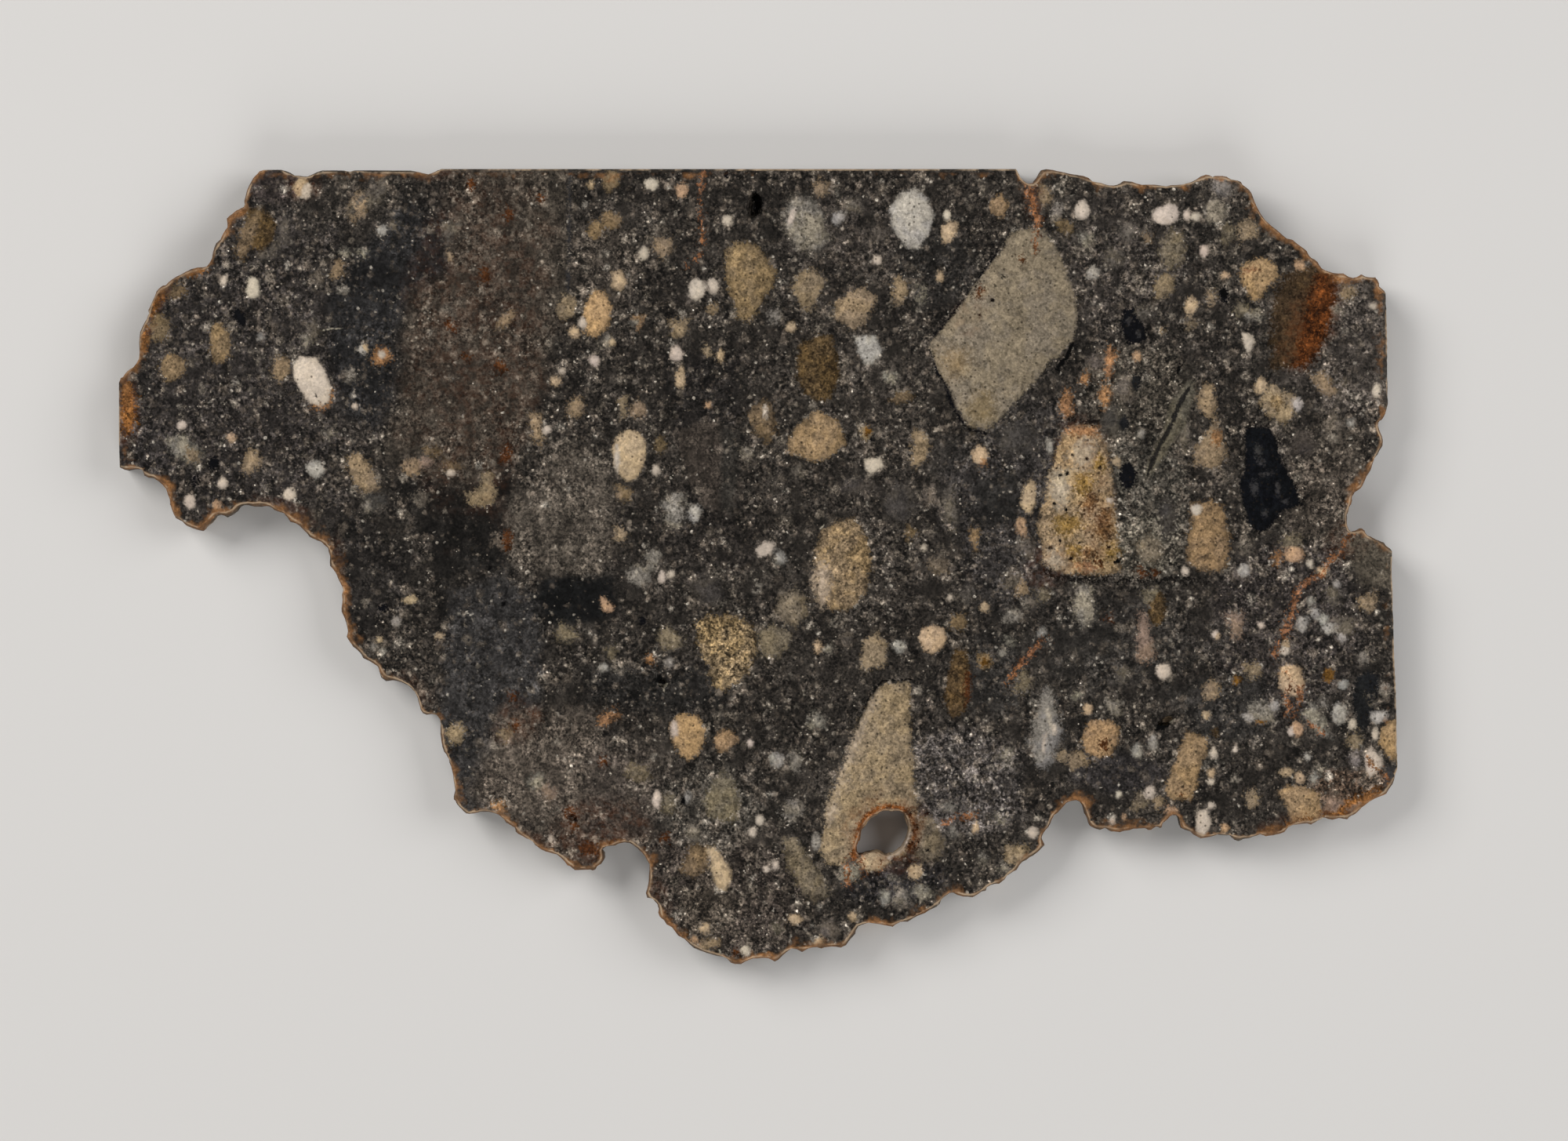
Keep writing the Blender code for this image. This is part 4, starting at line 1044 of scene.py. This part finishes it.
def build_stone():
    """The whole slice as one closed fine mesh, its points, which are wall, and its outline."""
    bm = wall_of(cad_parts["meteorite_slice"])
    wall_points = crumble(bm)
    wall_faces = np.array([[v.index for v in f.verts] for f in bm.faces])
    front = np.vstack((honeycomb(FRONT_STEP, FRONT_SEED), clast_points()))
    back = honeycomb(BACK_STEP, BACK_SEED)
    top_points, top_faces = cap(bm, CAD_BOX[1].z, front, FRONT_STEP, True)
    back_points, back_faces = cap(bm, CAD_BOX[0].z, back, BACK_STEP, False)
    count = len(wall_points)
    back_faces = np.where(back_faces < count, back_faces, back_faces + len(top_points))
    points = np.vstack((wall_points, top_points, back_points))
    faces = np.vstack((wall_faces, top_faces, back_faces))
    loops = [wall_points[loop] for loop in rim_loops(bm, CAD_BOX[1].z)]
    outline = np.vstack([loop for loop in loops if np.ptp(loop[:, 0]) > LEAST_LOOP * PIXEL])
    bm.free()
    mesh = bpy.data.meshes.new("stone")
    mesh.from_pydata(points.tolist(), [], faces.tolist())
    mesh.update()
    mesh.shade_smooth()
    mesh.set_sharp_from_angle(angle=SHARP_ANGLE)
    on_wall = np.zeros(len(points))
    on_wall[:count] = 1
    return mesh, points, on_wall, outline


def write_attribute(mesh, name, kind, values):
    """Stores values on the mesh's points for the material to read."""
    attribute = mesh.attributes.new(name, kind, "POINT")
    key = "color" if kind == "FLOAT_COLOR" else "vector"
    attribute.data.foreach_set(key, np.ascontiguousarray(values, dtype=np.float32).ravel())


def paint_stone(mesh, points, on_wall, outline):
    """Works out where each clast, vein, area and stain lies on the mesh."""
    places = in_pixels(points)
    layers = [Layer(places) for _ in LAYERS]
    bodies, clasts, marks = layers
    paint_outlined(bodies, OUTLINED, OUTLINED_SEED)
    paint_outlined(clasts, CHIPS, CHIPS_SEED)
    paint_clasts(bodies, clasts)
    paint_buried(clasts)
    paint_ovals(marks, MARKS, MARKS_SEED)
    paint_veins(marks)
    for name, layer in zip(LAYERS, layers):
        write_attribute(mesh, name, "FLOAT_COLOR", layer.colour)
        shape = np.column_stack((layer.distance, layer.edge))
        write_attribute(mesh, name + "_shape", "FLOAT_VECTOR", shape)
    write_attribute(mesh, "ground", "FLOAT_COLOR", ground_of(places))
    rim = distance_to(points, outline) / PIXEL
    walls = on_wall * (rim < WALL_REACH)
    rim += WALL_FALL * walls * places[:, 2]
    write_attribute(mesh, "stains", "FLOAT_COLOR", stains_of(places, rim, walls))


class Tree:
    """Short names for building a material's nodes."""

    def __init__(self, material):
        material.use_nodes = True
        self.nodes = material.node_tree.nodes
        self.links = material.node_tree.links
        self.shader = self.nodes["Principled BSDF"]

    def put(self, socket, value):
        """Links a socket to another one's output, or sets its value."""
        if isinstance(value, bpy.types.NodeSocket):
            self.links.new(value, socket)
        else:
            socket.default_value = value

    def math(self, operation, a, b=0.0, clamp=False):
        node = self.nodes.new("ShaderNodeMath")
        node.operation = operation
        node.use_clamp = clamp
        self.put(node.inputs[0], a)
        self.put(node.inputs[1], b)
        return node.outputs[0]

    def times(self, a, b, clamp=False):
        return self.math("MULTIPLY", a, b, clamp)

    def plus(self, a, b, clamp=False):
        return self.math("ADD", a, b, clamp)

    def centred(self, noise):
        """A noise of 0 to 1 as -0.5 to 0.5."""
        return self.math("SUBTRACT", noise, 0.5)

    def stops(self, value):
        """How many times brighter that many photographic stops are."""
        return self.math("POWER", 2.0, value)

    def sum(self, *terms):
        """The sum of (value, weight) pairs."""
        total = 0.0
        for value, weight in terms:
            total = self.plus(total, self.times(value, weight))
        return total

    def skewed(self, value, below, above):
        """A value times one number below 0 and times a smaller one above."""
        return self.math("MINIMUM", self.times(value, below), self.times(value, above))

    def vector(self, operation, a, b):
        node = self.nodes.new("ShaderNodeVectorMath")
        node.operation = operation
        self.put(node.inputs[0], a)
        if operation == "SCALE":
            self.put(node.inputs["Scale"], b)
        else:
            self.put(node.inputs[1], b)
        return node.outputs[0]

    def mix(self, share, a, b, blend="MIX"):
        """Blends two colours. The node's colour sockets have no names of their own."""
        node = self.nodes.new("ShaderNodeMix")
        node.data_type = "RGBA"
        node.blend_type = blend
        self.put(node.inputs[0], share)
        self.put(node.inputs[6], a)
        self.put(node.inputs[7], b)
        return node.outputs[2]

    def tinted(self, colour, tint):
        """A colour times another colour or a brightness."""
        return self.mix(1.0, colour, tint, "MULTIPLY")

    def attribute(self, name):
        node = self.nodes.new("ShaderNodeAttribute")
        node.attribute_name = name
        return node.outputs

    def parts(self, vector):
        node = self.nodes.new("ShaderNodeSeparateXYZ")
        self.put(node.inputs[0], vector)
        return node.outputs

    def channels(self, colour):
        node = self.nodes.new("ShaderNodeSeparateColor")
        self.put(node.inputs[0], colour)
        return node.outputs

    def noise(self, vector, length, detail=2.0, roughness=0.55):
        node = self.nodes.new("ShaderNodeTexNoise")
        self.put(node.inputs["Vector"], vector)
        node.inputs["Scale"].default_value = 1 / length
        node.inputs["Detail"].default_value = detail
        node.inputs["Roughness"].default_value = roughness
        return node.outputs

    def cells(self, vector, length):
        node = self.nodes.new("ShaderNodeTexVoronoi")
        self.put(node.inputs["Vector"], vector)
        node.inputs["Scale"].default_value = 1 / length
        return node.outputs

    def smooth(self, value, low, high):
        """0 below low, 1 above high, smooth between them. low may be the greater."""
        node = self.nodes.new("ShaderNodeMapRange")
        node.interpolation_type = "SMOOTHSTEP"
        self.put(node.inputs["Value"], value)
        self.put(node.inputs["From Min"], low)
        self.put(node.inputs["From Max"], high)
        return node.outputs[0]

    def ramp(self, value, stops):
        """A colour from a list of positions and colours as seen."""
        node = self.nodes.new("ShaderNodeValToRGB")
        self.put(node.inputs[0], value)
        elements = node.color_ramp.elements
        while len(elements) < len(stops):
            elements.new(0.5)
        for element, (at, colour) in zip(elements, stops):
            element.position = at
            element.color = (*linear(colour), 1)
        return node.outputs[0]


# Loose grains of the matrix: cell size, largest radius and warp in pixels, share, strength
GRAINS = (
    (31.0, 12.0, 9.0, 0.42, 0.45),
    (16.0, 7.8, 7.0, 0.52, 0.52),
    (8.6, 4.8, 4.0, 0.74, 0.50),
    (4.6, 2.6, 1.4, 0.70, 0.50),
    (2.6, 1.2, 0.0, 0.08, 0.70),
)
# How strongly each size of grain makes its cell lighter or darker than the next one
GRIT = (0.0, 0.3, 0.6, 1.1, 1.3)
# How far each size of grain's cells are shifted from those of the size before
GRAIN_SHIFT = (37.0, 11.0, 5.0)
GRAIN_COLOURS = (
    (0.0, (14, 13, 13)), (0.15, (38, 34, 31)), (0.34, (64, 57, 50)), (0.54, (86, 77, 68)),
    (0.72, (107, 97, 86)), (0.86, (130, 120, 107)), (0.95, (154, 145, 132)), (1.0, (190, 182, 169)),
)
# The grains crowd together this far round the clasts, in pixels
HALO = 10.0
# The two tints that a clast wanders between, and the spacing of its dark specks in pixels
WARM = (1.05, 0.99, 0.88, 1)
COOL = (1.0, 0.985, 1.02, 1)
SPECK_STEP = 6.0
SPECK_COLOUR = (*linear((32, 27, 21)), 1)
RUST_COLOUR = (*linear((106, 60, 30)), 1)
RIND_COLOUR = (*linear((140, 98, 60)), 1)
# Painted highlight: the pale colour of the rim's lit edge
RIM_HIGHLIGHT_COLOUR = (*linear((196, 170, 140)), 1)
DUST_COLOUR = (*linear((100, 87, 71)), 1)
# Widths in pixels of the brown rind and of the painted highlight, a pale line along the rim's lit edge
RIND_WIDTH = 8.0
RIM_HIGHLIGHT_WIDTH = 2.6
# Roughness of the polished matrix, how much smoother its clasts are and how much rougher the wall
MATRIX_ROUGHNESS = 0.34
CLAST_POLISH = 0.10
WALL_ROUGHNESS = 0.4
BUMP_HEIGHT = 0.00008


class Pattern:
    """Where a point is, in pixels, and the noises that all of the stone shares."""

    def __init__(self, t):
        coordinates = t.nodes.new("ShaderNodeTexCoord")
        self.place = t.vector("SCALE", coordinates.outputs["Object"], 1 / PIXEL)
        self.fine = t.noise(self.place, 3.0, 3.0, 0.7)
        self.medium = t.noise(self.place, 10.0, 4.0, 0.65)
        self.coarse = t.noise(self.place, 40.0, 3.0)
        warp = t.vector("SUBTRACT", self.medium[1], (0.5, 0.5, 0.5))
        self.warp = t.vector("SCALE", warp, 2.5)
        self.jitter = t.centred(self.fine[0])
        self.wander = t.centred(self.medium[0])
        self.mottle = t.centred(t.noise(self.place, 18.0, 3.0, 0.6)[0])
        self.drift = t.centred(self.coarse[0])


def clast_layers(t, p):
    """Each layer's colour, ragged distance and softness, and the halo round its clasts."""
    fringe = t.sum((p.wander, 3.0), (p.jitter, 4.0))
    layers, halo = [], 0.0
    for name in LAYERS:
        shape = t.parts(t.attribute(name + "_shape")["Vector"])
        distance = t.plus(shape[0], t.times(fringe, shape[2]))
        layers.append((t.attribute(name), distance, shape[1]))
        if name != "marks":
            halo = t.math("MAXIMUM", halo, t.smooth(distance, HALO, 0.0))
    return layers, halo


def grainy(t, p, ground, crowding):
    """The matrix's colour with its loose grains, largest first, and its grit."""
    ragged = t.sum((p.jitter, 0.9), (p.wander, 0.5))
    colour, grit = ground, 0.0
    for number, (cell, radius, reach, share, strength) in enumerate(GRAINS):
        moved = t.vector("ADD", p.place, [number * shift for shift in GRAIN_SHIFT])
        if reach:
            moved = t.vector("ADD", moved, t.vector("SCALE", p.warp, reach))
        found = t.cells(moved, cell)
        dice = t.channels(found["Color"])
        present = t.math("LESS_THAN", dice[0], t.times(crowding, share))
        size = t.times(t.plus(t.times(dice[1], 0.7), 0.3), radius / cell)
        distance = t.plus(found["Distance"], ragged)
        mask = t.smooth(distance, t.times(size, 1.25), t.times(size, 0.5))
        mask = t.times(t.times(mask, present), strength)
        colour = t.mix(mask, colour, t.ramp(dice[2], GRAIN_COLOURS))
        if GRIT[number]:
            grit = t.sum((grit, 1.0), (t.centred(dice[1]), GRIT[number]))
    return colour, grit


def matrix(t, p, halo):
    """The matrix's colour, uneven and grainy, and its grit."""
    ground = t.attribute("ground")
    crowding = t.plus(ground["Alpha"], t.times(halo, 0.5))
    crowding = t.times(crowding, t.sum((p.drift, 4.0), (p.mottle, 3.0), (1.0, 1.0)))
    colour, grit = grainy(t, p, ground["Color"], crowding)
    coarseness = t.plus(t.times(crowding, 0.45), 0.32, clamp=True)
    tone = t.times(t.sum((p.jitter, 8.6), (p.wander, 5.0), (grit, 1.9)), coarseness)
    tone = t.skewed(tone, 1.3, 0.8)
    tone = t.stops(t.sum((tone, 1.0), (p.mottle, 2.4), (p.drift, 0.8)))
    return t.tinted(colour, tone), grit


def with_clasts(t, p, colour, grit, layers):
    """The colour with the speckled clasts over it, and the clasts' share of each point."""
    speckle = t.sum((p.jitter, 5.2), (p.wander, 3.2), (p.mottle, 3.0), (grit, 1.3))
    speckle = t.skewed(speckle, 1.2, 0.85)
    warmth = t.smooth(t.plus(p.drift, t.times(p.mottle, 0.8)), -0.12, 0.12)
    tinge = t.mix(warmth, COOL, WARM)
    found = t.cells(p.place, SPECK_STEP)
    dice = t.channels(found["Color"])
    dot = t.smooth(found["Distance"], 0.34, 0.14)
    clast_share = 0.0
    for finish, distance, soft in layers:
        mask = t.smooth(distance, soft, t.times(soft, -1.0))
        body = t.smooth(distance, t.times(soft, 0.5), t.times(soft, -3.0))
        change = t.stops(t.times(speckle, finish["Alpha"]))
        change = t.times(change, t.plus(t.times(body, 0.22), 0.80))
        inner = t.tinted(finish["Color"], change)
        inner = t.mix(t.times(finish["Alpha"], 1.3, clamp=True), inner, t.tinted(inner, tinge))
        dotted = t.math("LESS_THAN", dice[0], t.times(finish["Alpha"], 0.7))
        inner = t.mix(t.times(t.times(dot, dotted), 0.7), inner, SPECK_COLOUR)
        colour = t.mix(mask, colour, inner)
        clast_share = t.math("MAXIMUM", mask, clast_share)
    return colour, clast_share


def weathered(t, p, colour, stained, stains):
    """The colour with rust, the brown rind, a painted highlight along the rim's lit edge and the wall's
    dust.
    """
    patchy = t.smooth(p.medium[0], 0.42, 0.66)
    rusty = t.times(stains[0], t.plus(t.times(patchy, 0.8), 0.12))
    colour = t.mix(t.times(rusty, 0.7), colour, RUST_COLOUR)
    natural = t.math("SUBTRACT", 1.0, stained["Alpha"], clamp=True)
    shade = t.stops(t.sum((p.jitter, 4.0), (p.mottle, 3.0)))
    inward = t.sum((stains[1], 1.0), (stains[2], -8.0), (p.wander, 22.0), (p.drift, 52.0),
                   (p.jitter, 8.0))
    rind = t.times(t.smooth(inward, RIND_WIDTH, -RIND_WIDTH), natural)
    colour = t.mix(t.times(rind, 0.8), colour, t.tinted(RIND_COLOUR, shade))
    # Painted highlight: a pale line where the rim and the top of the wall catch the light
    line = t.smooth(t.sum((stains[1], 1.0), (p.jitter, 3.0)), RIM_HIGHLIGHT_WIDTH, 0.6)
    line = t.times(line, t.sum((p.drift, 3.6), (p.mottle, 3.6), (1.0, 0.45)), clamp=True)
    colour = t.mix(line, colour, RIM_HIGHLIGHT_COLOUR)
    dusty = t.times(stains[2], t.smooth(p.coarse[0], 0.3, 0.7))
    return t.mix(t.times(dusty, 0.5), colour, DUST_COLOUR)


def stone_material():
    """Polished breccia: a grainy matrix, clasts, veins, rust and a weathered rind."""
    material = bpy.data.materials.new("breccia")
    t = Tree(material)
    p = Pattern(t)
    stained = t.attribute("stains")
    stains = t.channels(stained["Color"])
    layers, halo = clast_layers(t, p)
    colour, grit = matrix(t, p, halo)
    colour, clast_share = with_clasts(t, p, colour, grit, layers)
    t.put(t.shader.inputs["Base Color"], weathered(t, p, colour, stained, stains))

    polish = t.math("SUBTRACT", MATRIX_ROUGHNESS, t.times(clast_share, CLAST_POLISH))
    rough = t.plus(polish, t.times(stains[2], WALL_ROUGHNESS), clamp=True)
    t.put(t.shader.inputs["Roughness"], rough)
    t.shader.inputs["Specular IOR Level"].default_value = 0.2

    relief = t.plus(t.times(p.fine[0], 0.25), t.times(p.medium[0], 0.4))
    relief = t.plus(relief, t.times(clast_share, 0.3))
    bump = t.nodes.new("ShaderNodeBump")
    t.put(bump.inputs["Strength"], t.plus(t.times(stains[2], 0.5), 0.12))
    bump.inputs["Distance"].default_value = BUMP_HEIGHT
    t.put(bump.inputs["Height"], relief)
    t.put(t.shader.inputs["Normal"], bump.outputs[0])
    return material


# The floor, in metres: half its width, and the gap that keeps it clear of the back
FLOOR_HALF = 0.6
FLOOR_GAP = 0.00003
FLOOR_COLOUR = (0.74, 0.73, 0.72, 1)
# Soft lights: name, place, size, power, colour
LIGHTS = (
    ("key", (-0.30, 0.22, 0.30), 0.26, 1.40, (1.0, 0.98, 0.95)),
    ("fill", (0.34, 0.10, 0.28), 0.30, 0.86, (1.0, 0.99, 0.98)),
    ("front", (0.02, -0.38, 0.26), 0.30, 0.76, (1.0, 0.99, 0.97)),
)
WORLD_COLOUR = (0.94, 0.93, 0.92, 1)
WORLD_STRENGTH = 0.16
# The camera's lens and sensor in millimetres, and the nearest distance it sees in metres
LENS = 100
SENSOR = 36
NEAREST = 0.01


def in_scene(name, data):
    """A new object in the scene."""
    thing = bpy.data.objects.new(name, data)
    bpy.context.scene.collection.objects.link(thing)
    return thing


def floor():
    """A plain pale surface that the slice lies on."""
    half = FLOOR_HALF
    mesh = bpy.data.meshes.new("floor")
    corners = [(-half, -half, 0), (half, -half, 0), (half, half, 0), (-half, half, 0)]
    mesh.from_pydata(corners, [], [(0, 1, 2, 3)])
    plane = in_scene("floor", mesh)
    plane.location.z = CAD_BOX[0].z - FLOOR_GAP
    material = bpy.data.materials.new("pale_floor")
    t = Tree(material)
    t.shader.inputs["Base Color"].default_value = FLOOR_COLOUR
    t.shader.inputs["Roughness"].default_value = 0.8
    mesh.materials.append(material)


def lights():
    """Soft studio light from the sides, so that the polish shows no glare from above."""
    for name, place, size, power, colour in LIGHTS:
        data = bpy.data.lights.new(name, "AREA")
        data.size = size
        data.energy = power
        data.color = colour
        light = in_scene(name, data)
        light.location = place
        light.rotation_euler = (-Vector(place)).to_track_quat("-Z", "Y").to_euler()
    world = bpy.data.worlds.new("studio")
    world.use_nodes = True
    background = world.node_tree.nodes["Background"]
    background.inputs["Color"].default_value = WORLD_COLOUR
    background.inputs["Strength"].default_value = WORLD_STRENGTH
    bpy.context.scene.world = world
    bpy.context.scene.view_settings.view_transform = "Standard"


def camera():
    """Straight above the slice, as the photograph was taken."""
    data = bpy.data.cameras.new("camera")
    data.lens = LENS
    data.sensor_width = SENSOR
    data.clip_start = NEAREST
    eye = in_scene("camera", data)
    x, y = in_metres(PHOTO_WIDTH / 2, PHOTO_HEIGHT / 2)
    eye.location = (x, y, CAD_BOX[1].z + PHOTO_WIDTH * PIXEL * LENS / SENSOR)
    bpy.context.scene.camera = eye


def main():
    camera()
    lights()
    floor()
    mesh, points, on_wall, outline = build_stone()
    paint_stone(mesh, points, on_wall, outline)
    mesh.materials.append(stone_material())
    stone = in_scene("polished_stone", mesh)
    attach(stone, "root")
    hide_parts("meteorite_slice")


main()
